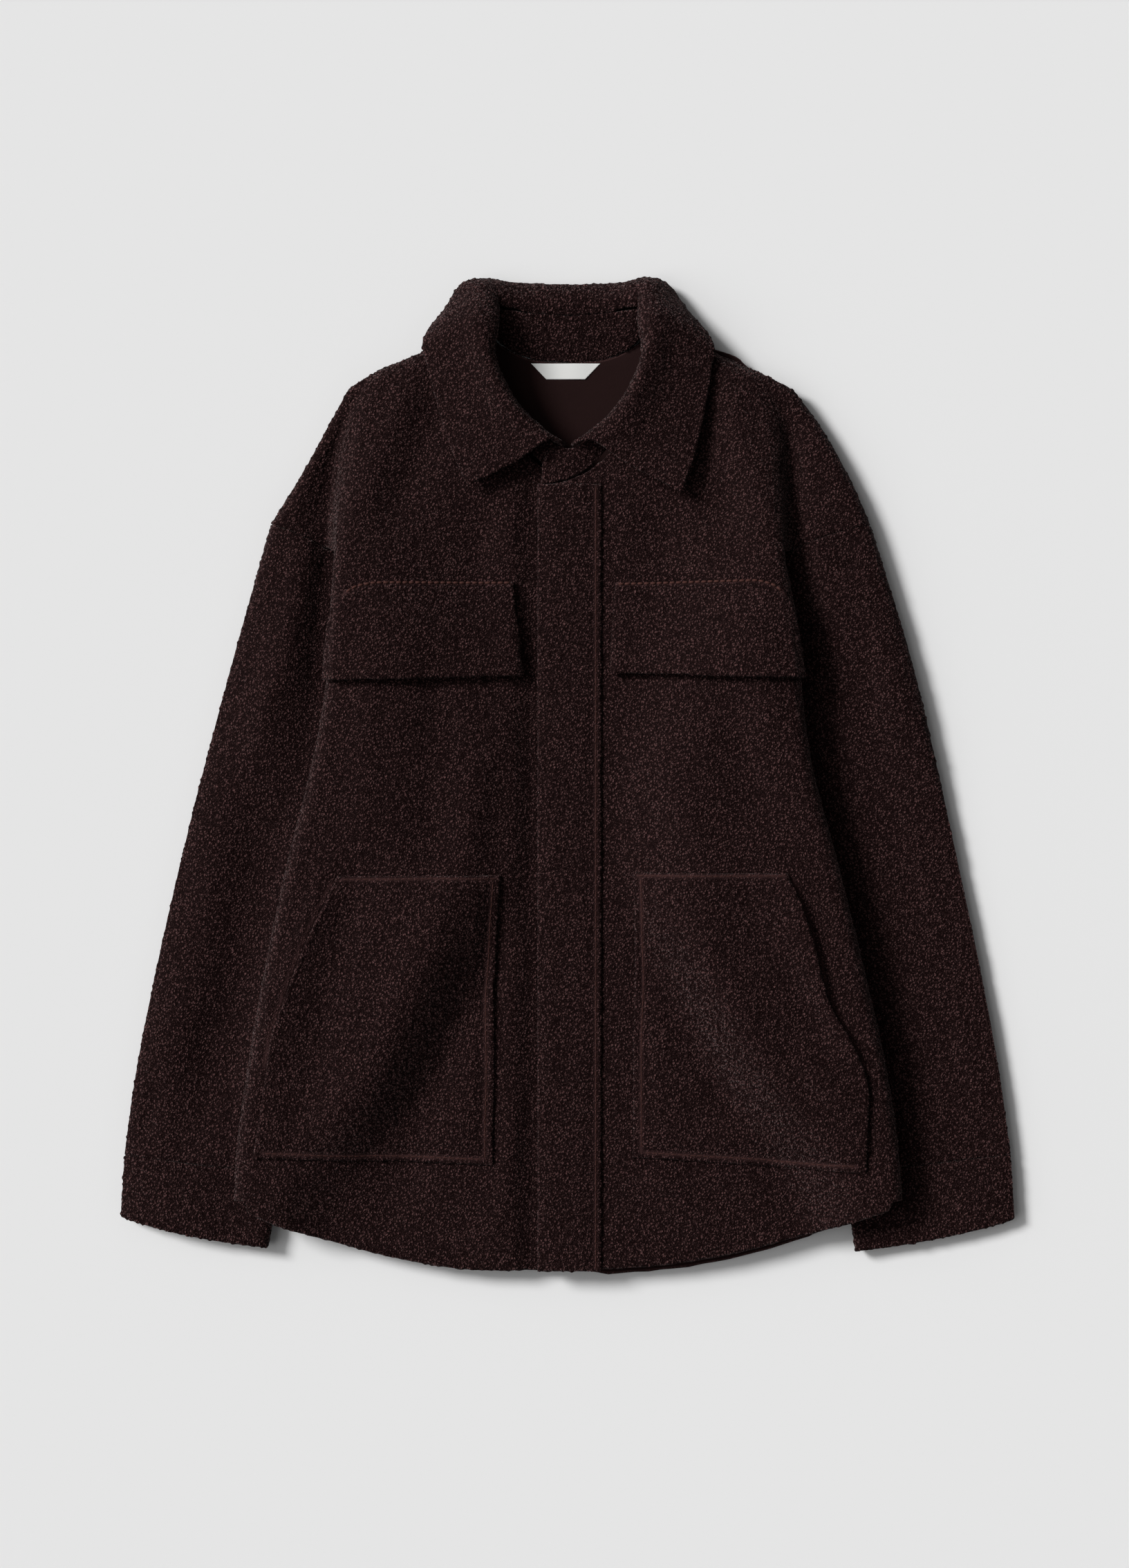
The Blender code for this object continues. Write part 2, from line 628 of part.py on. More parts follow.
def build_cuff(side):
    rows = np.array([SEAM / CUFF_DEPTH, 0.33, 0.67, 1])
    return tube("cuff_" + side, side, CUFF[side], rows, CUFF_THICK, SLEEVE_TURNS, bow=False, curve_end=3.0)


# What is laid on a front: rows down it, with its inner and outer edges and how far it stands off there
CHEST_FLAP = {
    "right": Table(
        "row inner_x inner_y outer_x outer_y lift",
        (0, 44, 152, 150, 151, -0.7), (1, 43, 146, 170, 146, -0.2), (2, 42, 131, 181, 133, 0.4),
        (3, 39, 105, 186, 104, 1.2), (4, 37, 79, 187, 75, 2.6)),
    "left": Table(
        "row inner_x inner_y outer_x outer_y lift",
        (0, 37, 151, 146, 153, -0.9), (1, 36, 145, 164, 147, -0.4), (2, 35, 131, 172, 132, 0.4),
        (3, 33, 105, 177, 104, 1.2), (4, 32, 81, 180, 77, 2.6)),
}
HIP_POCKET = {
    "right": Table(
        "row inner_x inner_y outer_x outer_y lift",
        (0, 53, -77, 179, -77, 0.0), (1, 56, -114, 198, -114, 0.6), (2, 57, -147, 212, -147, 1.0),
        (3, 58, -176, 222, -176, 1.0), (4, 58, -204, 230, -202, 0.4), (5, 58, -240, 235, -236, 0.0),
        (6, 59, -272, 240, -268, 0.0), (7, 59, -303, 245, -296, 0.0)),
    "left": Table(
        "row inner_x inner_y outer_x outer_y lift",
        (0, 51, -75, 170, -75, 0.0), (1, 52, -104, 182, -104, 0.6), (2, 52, -133, 191, -133, 1.0),
        (3, 52, -171, 201, -171, 1.0), (4, 51, -205, 220, -208, 0.4), (5, 51, -238, 232, -238, 0.0),
        (6, 51, -268, 232, -272, 0.0), (7, 51, -297, 231, -308, 0.0)),
}


def face_height(side, x, y):
    """Height of the front's faceted outer face."""
    grid_x, grid_y, grid_z = body_grid(side)
    levels = grid_y[:LEVEL_ROWS, 0]
    height = np.zeros(x.shape)
    for place in np.ndindex(x.shape):
        i = int(np.clip(np.searchsorted(-levels, -y[place], "right") - 1, 0, len(levels) - 2))
        t = np.clip((levels[i] - y[place]) / (levels[i] - levels[i + 1]), 0, 1)
        above = np.interp(x[place], grid_x[i], grid_z[i])
        below = np.interp(x[place], grid_x[i + 1], grid_z[i + 1])
        height[place] = mix(above, below, t)
    return height


def laid_piece(name, side, table, rows, columns, wall):
    """A flap or pocket made from the front's own points, moved out along its normals."""
    sheet, row = Sheet(), np.asarray(rows, float)
    inner = np.stack([table.at("inner_x", row), table.at("inner_y", row)], -1)
    outer = np.stack([table.at("outer_x", row), table.at("outer_y", row)], -1)
    plan = inner[:, None] + (outer - inner)[:, None] * np.asarray(columns)[None, :, None]
    x, y = plan[..., 0], plan[..., 1]
    lift = table.at("lift", row)[:, None] * (1 + 0 * x)
    step = 3.0
    slope_x = (face_height(side, x + step, y) - face_height(side, x - step, y)) / (2 * step)
    slope_y = (face_height(side, x, y + step) - face_height(side, x, y - step)) / (2 * step)
    normal = np.dstack([-slope_x, -slope_y, np.ones_like(x)])
    normal /= np.linalg.norm(normal, axis=2)[..., None]
    face = np.dstack([x, y, face_height(side, x, y)])
    sheet.grid(face + normal * (LAID_ON + GRID_SAG + lift)[..., None])
    return sheet.solid(name, FLEECE, side, 0.0, wall)


# The front's flat facets sag below or stand above its smooth form by up to this much
GRID_SAG = 1.5


def build_placket():
    sheet = Sheet()
    y = np.linspace(PLACKET_TOP, HEM["left"].at("y", 0.0), 24)
    x = np.array([PLACKET_FREE, -10, 8, PLACKET_SEAM])
    grid_x, grid_y = np.meshgrid(x, y)
    top = front_top("left", grid_x, grid_y)
    sheet.grid(np.dstack([grid_x, grid_y, top + 2 * LAID_ON]))
    return sheet.solid("placket", FLEECE, "left", 0.0, FLAP_WALL)


# The collar: stations from the centre back round the shoulder to the front end, on one side
STAND = Table(
    "t clear neck_z seam_x seam_y seam_z",
    (-1.00, 0.8, 2, 0, 361, 11), (-0.62, 0.9, 2.5, 30, 363, 12), (-0.30, 1.2, 6, 49, 365, 15),
    (0.00, 3.6, 10, 59, 361, 19), (0.10, 4.6, 15, 58, 348, 24), (0.24, 5.0, 18, 59, 328, 26),
    (0.38, 4.5, 20, 52, 307, 27), (0.52, 3.2, 21, 39, 285, 28), (0.65, 4.2, 22, 22, 268, 28),
    (0.78, 2.4, 23, 4, 256, 28), (0.89, 1.8, 23.5, -10, 257, 27), (1.00, 1.4, 23.5, -20, 247, 25))
FALL = {
    "right": Table(
        "t crest_x crest_y crest_z turn_x turn_y turn_z edge_x edge_y edge_z",
        (-1, 0, 380, 11.0, 0, 384.5, 6.7, 0, 351, 2.5), (-.62, 38, 381, 11.5, 40, 386, 6.7, 36, 354, 2.6),
        (-.3, 58, 385, 16, 71, 389, 8, 67, 366, 3), (0, 66, 376, 27, 89, 373, 16, 101, 359, 9),
        (.1, 66, 359, 36, 87, 356, 30, 113, 342, 22), (.24, 64, 335, 39, 81, 331, 33, 109, 318, 27),
        (.38, 56, 311, 40, 73, 305, 34, 102, 291, 29), (.52, 43, 289, 40, 62, 280, 35, 94, 264, 31),
        (.65, 27, 273, 38, 52, 259, 35, 86, 243, 35.5), (.78, 10, 262, 36.5, 41, 245, 36, 78, 226, 38)),
    "left": Table(
        "t crest_x crest_y crest_z turn_x turn_y turn_z edge_x edge_y edge_z",
        (-1, 0, 380, 11.0, 0, 384.5, 6.7, 0, 351, 2.5), (-.62, 38, 381, 11.5, 40, 386, 6.7, 36, 354, 2.6),
        (-.3, 56, 386, 16, 66, 390, 8, 64, 366, 3), (0, 62, 376, 27, 84, 373, 16, 98, 358, 9),
        (.1, 63, 359, 36, 86, 356, 30, 112, 340, 22), (.24, 62, 335, 39, 81, 330, 33, 111, 317, 27),
        (.38, 54, 311, 40, 74, 303, 34, 107, 290, 29.5), (.52, 42, 289, 40, 66, 278, 35, 101, 262, 31.5),
        (.65, 27, 273, 38, 56, 257, 35.5, 95, 240, 35.5), (.78, 11, 262, 37.5, 45, 244, 37, 88, 221, 38)),
}
LEFT_END_RISE = 4.8


STAND_WALL = 3.8
FALL_END = 0.78
NECK_STATIONS = np.r_[-BACK_NECK_SHARES[::-1], FRONT_NECK_SHARES[1:]]


def stand_point(side, t, w):
    """The stand from the neck edge (w = 0) to its seam with the fall. t is -1 at the back, 1 in front."""
    edge = along(NECK_BACK, -t) if t < 0 else along(NECK_FRONT, t)
    seam = np.array([STAND.at("seam_" + c, t) for c in "xyz"])
    into_neck = seam[:2] - edge
    edge = edge + into_neck / np.linalg.norm(into_neck) * STAND.at("clear", t)
    point = mix(np.r_[edge, STAND.at("neck_z", t)], seam, w)
    if side == "right":
        point[2] -= LEFT_END_RISE * smooth((t - 0.6) / 0.25)
    point[0] *= SIGN[side]
    return point


def build_stand():
    order = [("right", t) for t in NECK_STATIONS[::-1]] + [("left", t) for t in NECK_STATIONS[1:]]
    across = np.linspace(0, 1, 4)
    sheet = Sheet()
    sheet.grid(np.array([[stand_point(side, t, w) for w in across] for side, t in order]))
    return sheet.solid("collar_stand", FLEECE, None, -STAND_WALL / 2, STAND_WALL / 2)


def fall_profile(side, t, w):
    """Points from the seam with the stand, over the crest of the roll, to the outer edge."""
    below, seam = stand_point(side, t, 0.8), stand_point(side, t, 1.0)
    below[0] *= SIGN[side]
    seam[0] *= SIGN[side]
    rise = (seam - below) / np.linalg.norm(seam - below)
    gap = 2 * SEAM + 2.0 * smooth((t + 0.65) / 0.3) + 0.4 * smooth((t - 0.5) / 0.25)
    upward = smooth((t - 0.05) / 0.2)
    knots = [seam + rise * gap, seam + rise * mix(7.0, 3.0, upward) + np.array([0, 0, 4.5 * upward])]
    knots += [np.array([FALL[side].at(f"{k}_{c}", t) for c in "xyz"]) for k in ("crest", "turn", "edge")]
    points = along(knots, w)
    points[:, 0] *= SIGN[side]
    return points


def build_collar():
    stations = np.r_[np.linspace(-1, 0, 6), np.linspace(0, FALL_END, 8)[1:]]
    w = np.array([0, 0.12, 0.24, 0.34, 0.44, 0.56, 0.7, 0.85, 1.0])
    order = [("right", t) for t in stations[::-1]] + [("left", t) for t in stations[1:]]
    sheet = Sheet()
    sheet.grid(np.array([fall_profile(side, t, w) for side, t in order]))
    return sheet.solid("collar", FLEECE, None, -WALL / 2, WALL / 2)


# The label's rows: height up the garment and half its width
LABEL_ROWS = ((324.5, 27.2), (318.3, 21.3), (312.0, 15.2))
LABEL_MIDDLE = -2.0
LABEL_WALL = 1.0


def build_label():
    """A small woven label, sewn inside the back neck."""
    sheet = Sheet()
    rows = [[[LABEL_MIDDLE + half * x, y, WALL + LAID_ON] for x in np.linspace(-1, 1, 5)]
            for y, half in LABEL_ROWS]
    sheet.grid(np.array(rows))
    return sheet.solid("neck_label", LABEL_CLOTH, None, 0.0, LABEL_WALL)


build_back()
for side_name in ("right", "left"):
    build_front(side_name)
    build_sleeve(side_name)
    build_cuff(side_name)
    laid_piece("chest_flap_" + side_name, side_name, CHEST_FLAP[side_name], np.linspace(0, 4, 6),
               np.sin(np.linspace(0, 1.35, 10)) / np.sin(1.35), FLAP_WALL)
    laid_piece("hip_pocket_" + side_name, side_name, HIP_POCKET[side_name], np.linspace(0, 7, 10),
               np.linspace(0, 1, 13), FLAP_WALL)
build_placket()
build_stand()
build_collar()
build_label()
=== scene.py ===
"""A curly-fleece shacket laid out face up, piece by piece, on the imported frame.

Sizes are in millimetres: x runs outward from the centre line on either side, y up the garment from the
middle of its length, z up from the surface that it lies on.
"""
import bmesh
import bpy
import mathutils
import numpy as np
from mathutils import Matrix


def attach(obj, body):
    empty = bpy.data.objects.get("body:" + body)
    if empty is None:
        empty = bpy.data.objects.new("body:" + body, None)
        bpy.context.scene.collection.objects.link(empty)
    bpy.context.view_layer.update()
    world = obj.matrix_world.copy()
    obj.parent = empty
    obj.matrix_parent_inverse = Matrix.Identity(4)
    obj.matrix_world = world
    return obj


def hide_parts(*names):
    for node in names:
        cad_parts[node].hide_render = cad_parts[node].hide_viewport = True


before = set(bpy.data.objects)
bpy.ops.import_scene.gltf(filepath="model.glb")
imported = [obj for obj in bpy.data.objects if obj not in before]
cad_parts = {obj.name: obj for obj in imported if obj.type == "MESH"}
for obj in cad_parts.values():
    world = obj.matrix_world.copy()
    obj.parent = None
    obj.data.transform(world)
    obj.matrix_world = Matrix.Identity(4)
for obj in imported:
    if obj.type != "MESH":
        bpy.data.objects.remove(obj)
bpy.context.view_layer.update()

# SLEEVES
# Each sleeve is one piece of curly knit fleece, folded along its outer edge and closed by a seam
# underneath. It is set into a dropped armhole, and lies flat on the surface, partly under the body.

MM = 0.001
SIGN = {"right": -1, "left": 1}  # the wearer's sides: the right one lies at -x
MIDDLE = (-0.5, 1.7, 0.0)
SLEEVE_THICK = 19.0
CLOTH = 2.8  # knit backing with its pile pressed down
PILE_ROOT = 1.2  # the backing's face lies this far inside the face of the pile


class Table:
    """A short table with named columns, a row for each section, read between its rows on a smooth curve."""

    def __init__(self, names, *rows):
        self.names = names.split()
        self.rows = np.array(sorted(rows), float)

    def __getitem__(self, name):
        return self.rows[:, self.names.index(name)]

    def at(self, name, where, key=None):
        knots, values = self[key or self.names[0]], self[name]
        if knots[0] > knots[-1]:
            knots, values = knots[::-1], values[::-1]
        slopes = np.gradient(values, knots)
        where = np.clip(where, knots[0], knots[-1])
        k = np.clip(np.searchsorted(knots, where) - 1, 0, len(knots) - 2)
        span = knots[k + 1] - knots[k]
        t = (where - knots[k]) / span
        rise = values[k + 1] - values[k]
        start, end = slopes[k] * span, slopes[k + 1] * span
        square, cube = 3 * rise - 2 * start - end, start + end - 2 * rise
        return values[k] + t * (start + t * (square + t * cube))


def smooth(t):
    """Rises from 0 to 1 with level ends."""
    t = np.clip(t, 0, 1)
    return t * t * (3 - 2 * t)


def mix(a, b, t):
    return a + (b - a) * t


def steps(first, last, size):
    """Even places from first to last, about size apart."""
    return np.linspace(first, last, max(2, int(round(abs(last - first) / size)) + 1))


SIDE_FOLD = {
    "right": Table(
        "y half_width",
        (319, 150), (285, 166), (230, 178), (176, 183), (120, 187), (77, 189), (13, 200), (-68, 220),
        (-149, 237), (-230, 251), (-301, 260), (-330, 261)),
    "left": Table(
        "y half_width",
        (319, 148), (285, 161), (230, 167), (176, 169), (120, 179), (77, 182), (13, 190), (-68, 211),
        (-149, 231), (-230, 249), (-301, 259), (-330, 261)),
}
HEM_CORNER = -330.0
ARMHOLE_BOW = {"right": 20, "left": 30}
SLEEVE = {
    "right": Table(
        "v outer_x outer_y inner_x inner_y",
        (0.00, 234, 198, 88, 72), (0.25, 266, 84, 78, -15), (0.50, 299, -42, 96, -105),
        (0.72, 326, -160, 140, -195), (0.88, 341, -238, 184, -262), (1.00, 349, -296, 224, -311)),
    "left": Table(
        "v outer_x outer_y inner_x inner_y",
        (0.00, 238, 197, 85, 68), (0.25, 272, 84, 76, -15), (0.50, 301, -42, 94, -105),
        (0.72, 326, -160, 138, -195), (0.88, 340, -238, 178, -262), (1.00, 348, -296, 215, -311)),
}

# Soft folds of the sleeves, in plan: both ends, the width across, and the height (below nought, a trough)
SLEEVE_FOLDS = {
    "right": (
        (234, -10, 280, -262, 34, -8.0), (268, -180, 306, -310, 34, -4.0), (192, 235, 212, 120, 22, 4.0),
        (210, 135, 242, 25, 26, 4.0), (236, 40, 252, 0, 18, 1.5), (214, 70, 232, 30, 12, -1.5),
        (296, -60, 304, -110, 12, -1.5), (322, -240, 334, -290, 10, -1.8)),
    "left": (
        (214, 178, 234, 196, 6, -1.8), (205, 158, 230, 172, 5, -1.6), (238, 130, 262, 40, 16, 2.2),
        (226, 110, 246, 10, 18, -2.4), (262, -20, 292, -130, 16, 2.2), (250, -60, 276, -170, 18, -2.8),
        (300, -170, 322, -262, 14, 2.4), (240, 30, 290, -150, 34, -2.5), (284, -130, 322, -340, 36, -3.5),
        (312, -90, 322, -140, 12, -1.8)),
}
SLEEVE_FALL = {"right": 6.5, "left": 3.0}  # how much lower the upper layer lies at the outer edge
SLEEVE_ROLL = 46.0  # how far in from there it begins to fall
BOTH_LAYERS = 8.8  # the upper layer's face lies no lower than this, clear of the lower layer

# The cloth beside the body sinks towards it: how deep and how far out, down the side fold
VALLEY = {
    "right": Table(
        "y depth reach",
        (-372, 2, 14), (-200, 2.5, 14), (-60, 2.5, 14), (12, 3.5, 15), (67, 8, 18), (120, 9, 18),
        (176, 9, 18), (240, 7.5, 16), (285, 4, 14), (312, 0, 14), (353, 0, 14)),
    "left": Table(
        "y depth reach",
        (-372, 6, 160), (-300, 7.5, 160), (-236, 9, 160), (-95, 10, 140), (13, 10.5, 60), (100, 9, 22),
        (176, 6.5, 12), (240, 6, 13), (275, 4, 14), (300, 0, 14), (353, 0, 14)),
}


def fold_line(side, y):
    return SIDE_FOLD[side].at("half_width", y)


FOLD_OVERRUN = 0.12  # how far a fold runs on past its ends, as a share of its length
FOLD_FADE = 0.35  # the share of its length over which it fades out


def relief(folds, x, y):
    """Straight soft ridges and troughs that fade out at both ends."""
    height = np.zeros(np.shape(x))
    for x1, y1, x2, y2, width, rise in folds:
        run = np.array([x2 - x1, y2 - y1], float)
        t = ((x - x1) * run[0] + (y - y1) * run[1]) / run.dot(run)
        across = ((x - x1) * run[1] - (y - y1) * run[0]) / np.hypot(*run)
        fade = smooth((t + FOLD_OVERRUN) / FOLD_FADE) * smooth((1 + FOLD_OVERRUN - t) / FOLD_FADE)
        height = height + rise * fade * np.exp(-(across / width) ** 2 * 2)
    return height


def beside_body(side, x, y):
    """How far the cloth outside the side fold sinks towards the body, and a little way under it."""
    out = x - fold_line(side, np.maximum(y, HEM_CORNER))
    reach = VALLEY[side].at("reach", y)
    depth = VALLEY[side].at("depth", y) * smooth((out + 60) / 45)
    return depth * np.exp(-(np.maximum(out - 5, 0) / reach) ** 2)


def group_sockets(tree, *sockets):
    for way, kind, name, value in sockets:
        made = tree.interface.new_socket(name=name, in_out=way, socket_type="NodeSocket" + kind)
        if value is not None:
            made.default_value = value


def add_node(tree, kind, inputs=None, **settings):
    """Adds a node; inputs holds, for each socket, a value or the output that feeds it."""
    node = tree.nodes.new(kind)
    for name, value in settings.items():
        setattr(node, name, value)
    for name, value in (inputs or {}).items():
        if isinstance(value, bpy.types.NodeSocket):
            tree.links.new(value, node.inputs[name])
        else:
            node.inputs[name].default_value = value
    return node


CURLS_WANDER = 330.0  # how many times in a metre the curls stray to and fro
CURLS_STRAY = 0.0024
LOOPS = ((1.0, 0.7), (1.9, 0.3))  # how much finer, and what part of the height
LOOP_TIP, LOOP_FOOT = 0.04, 0.54  # distances from a loop's middle, in loops
CLUMPS = 110.0
CLUMP_PART = 0.15


def add_curls(tree, place, size):
    """Knobs of uneven size with smaller loops on them, from 0 in the gaps to 1 at the tips."""
    wander = add_node(tree, "ShaderNodeTexNoise", {"Vector": place, "Scale": CURLS_WANDER, "Detail": 1.0})
    wander = add_node(
        tree, "ShaderNodeVectorMath", {0: wander.outputs["Color"], 1: (0.5, 0.5, 0.5)},
        operation="SUBTRACT").outputs[0]
    shift = add_node(
        tree, "ShaderNodeVectorMath", {0: wander, "Scale": CURLS_STRAY}, operation="SCALE").outputs[0]
    place = add_node(tree, "ShaderNodeVectorMath", {0: place, 1: shift}).outputs[0]
    height = None
    for finer, part in LOOPS:
        scale = add_node(tree, "ShaderNodeMath", {0: finer, 1: size}, operation="DIVIDE").outputs[0]
        cells = add_node(tree, "ShaderNodeTexVoronoi", {"Vector": place, "Scale": scale})
        knob = add_node(
            tree, "ShaderNodeMapRange",
            {"Value": cells.outputs["Distance"], "From Min": LOOP_TIP, "From Max": LOOP_FOOT,
             "To Min": part, "To Max": 0.0},
            interpolation_type="SMOOTHSTEP").outputs[0]
        if height is not None:
            knob = add_node(tree, "ShaderNodeMath", {0: height, 1: knob}).outputs[0]
        height = knob
    return height


def pile_group():
    """Raises curls along the normals where the cloth has pile, and keeps where each point was before."""
    tree = bpy.data.node_groups.new("raised pile", "GeometryNodeTree")
    group_sockets(
        tree, ("INPUT", "Geometry", "Geometry", None), ("INPUT", "Float", "Curl Size", 0.003),
        ("INPUT", "Float", "Pile Height", 0.002), ("OUTPUT", "Geometry", "Geometry", None))
    given = add_node(tree, "NodeGroupInput")
    place = add_node(tree, "GeometryNodeInputPosition").outputs[0]
    normal = add_node(tree, "GeometryNodeInputNormal").outputs[0]
    pile = add_node(tree, "GeometryNodeInputNamedAttribute", {"Name": "pile"}, data_type="FLOAT").outputs[0]
    curl = add_curls(tree, place, given.outputs["Curl Size"])
    clumps = add_node(tree, "ShaderNodeTexNoise", {"Vector": place, "Scale": CLUMPS, "Detail": 1.0})
    curl = add_node(
        tree, "ShaderNodeMath", {0: clumps.outputs[0], 1: CLUMP_PART, 2: curl},
        operation="MULTIPLY_ADD").outputs[0]
    curl = add_node(tree, "ShaderNodeMath", {0: curl, 1: pile}, operation="MULTIPLY").outputs[0]
    rise = add_node(
        tree, "ShaderNodeMath", {0: curl, 1: given.outputs["Pile Height"]}, operation="MULTIPLY").outputs[0]
    offset = add_node(tree, "ShaderNodeVectorMath", {0: normal, "Scale": rise}, operation="SCALE")
    kept = add_node(tree, "GeometryNodeStoreNamedAttribute",
                    {"Geometry": given.outputs["Geometry"], "Name": "rest", "Value": place},
                    data_type="FLOAT_VECTOR", domain="POINT")
    moved = add_node(
        tree, "GeometryNodeSetPosition", {"Geometry": kept.outputs[0], "Offset": offset.outputs[0]})
    add_node(tree, "NodeGroupOutput", {"Geometry": moved.outputs[0]})
    return tree


PILE = pile_group()
WORN_PATCHES = 28.0  # how many times in a metre the colour drifts


def grain_group():
    """Uneven yarn: a colour that drifts at random, with painted shade where the yarn stands low and painted
    highlight where it stands high, and a fine height for a bump.
    """
    tree = bpy.data.node_groups.new("yarn grain", "ShaderNodeTree")
    group_sockets(
        tree, ("INPUT", "Color", "Deep", None), ("INPUT", "Color", "Tip", None),
        ("INPUT", "Float", "Raised", 0.5), ("INPUT", "Float", "Scale", 600.0),
        ("INPUT", "Float", "Variation", 0.3),
        ("OUTPUT", "Color", "Color", None), ("OUTPUT", "Float", "Height", None))
    given = add_node(tree, "NodeGroupInput")
    place = add_node(tree, "ShaderNodeTexCoord").outputs["Object"]
    yarn = add_node(
        tree, "ShaderNodeTexNoise",
        {"Vector": place, "Scale": given.outputs["Scale"], "Detail": 3.0, "Distortion": 0.6}).outputs[0]
    worn = add_node(tree, "ShaderNodeTexNoise", {"Vector": place, "Scale": WORN_PATCHES, "Detail": 3.0})
    uneven = add_node(
        tree, "ShaderNodeMath", {0: worn.outputs[0], 1: 0.6, 2: yarn}, operation="MULTIPLY_ADD").outputs[0]
    uneven = add_node(tree, "ShaderNodeMath", {0: uneven, 1: 0.8}, operation="SUBTRACT").outputs[0]
    uneven = add_node(
        tree, "ShaderNodeMath", {0: uneven, 1: given.outputs["Variation"], 2: 1.0},
        operation="MULTIPLY_ADD").outputs[0]
    # Raised is how far the yarn stands up: low gives painted shade, high gives painted highlight
    share = add_node(
        tree, "ShaderNodeMath", {0: uneven, 1: given.outputs["Raised"]},
        operation="MULTIPLY", use_clamp=True).outputs[0]
    colour = add_node(
        tree, "ShaderNodeMix", {"Factor": share, 6: given.outputs["Deep"], 7: given.outputs["Tip"]},
        data_type="RGBA")
    add_node(tree, "NodeGroupOutput", {"Color": colour.outputs[2], "Height": yarn})
    return tree


GRAIN = grain_group()


def cloth_material(name, deep, tip, yarn_scale, variation, bump):
    """A dull knitted or woven material, with its grain node."""
    material = bpy.data.materials.new(name)
    material.use_nodes = True
    tree = material.node_tree
    shader = tree.nodes["Principled BSDF"]
    shader.inputs["Roughness"].default_value = 0.8
    shader.inputs["Specular IOR Level"].default_value = 0.05
    grain = add_node(tree, "ShaderNodeGroup", node_tree=GRAIN)
    grain.inputs["Deep"].default_value = (*deep, 1)
    grain.inputs["Tip"].default_value = (*tip, 1)
    grain.inputs["Scale"].default_value = yarn_scale
    grain.inputs["Variation"].default_value = variation
    raised = add_node(
        tree, "ShaderNodeBump", {"Height": grain.outputs["Height"], "Strength": bump, "Distance": 0.0005})
    tree.links.new(grain.outputs["Color"], shader.inputs["Base Color"])
    tree.links.new(raised.outputs[0], shader.inputs["Normal"])
    return material, grain


PRESSED_SHADE = 0.27  # how light the cloth is painted where sewing parts the pile, between the painted shade of the gaps and the painted highlight of the tips


def fleece_material(curl_size):
    """Dark brown curls, with painted highlight at their tips and painted shade in the gaps between them."""
    # The first colour is painted shade for the gaps between curls, the second painted highlight for their
    # tips
    material, grain = cloth_material(
        "curly_fleece", (0.0050, 0.0013, 0.0013), (0.143, 0.0690, 0.0670), 1400.0, 0.4, 0.4)
    tree = material.node_tree
    shader, yarn_raised = tree.nodes["Principled BSDF"], tree.nodes["Bump"]
    shader.inputs["Sheen Weight"].default_value = 0.10
    shader.inputs["Sheen Roughness"].default_value = 0.3
    shader.inputs["Sheen Tint"].default_value = (1.0, 0.82, 0.80, 1)
    place = add_node(tree, "ShaderNodeAttribute", attribute_name="rest").outputs["Vector"]
    pile = add_node(tree, "ShaderNodeAttribute", attribute_name="pile").outputs["Fac"]
    curls = add_curls(tree, place, curl_size)
    # The curls' height picks the painted shade or highlight; pile held down by sewing is painted at one
    # level
    curls = add_node(tree, "ShaderNodeMix", {0: pile, 2: PRESSED_SHADE, 3: curls}).outputs[0]
    tree.links.new(curls, grain.inputs["Raised"])
    raised = add_node(
        tree, "ShaderNodeBump",
        {"Height": curls, "Strength": 1.0, "Distance": 0.0018, "Normal": yarn_raised.outputs[0]})
    tree.links.new(raised.outputs[0], shader.inputs["Normal"])
    return material


FLEECE = fleece_material(0.0021)
JERSEY, _ = cloth_material(
    "fleece_back_knit", (0.009, 0.0038, 0.0036), (0.021, 0.0092, 0.0088), 1100.0, 0.8, 0.4)


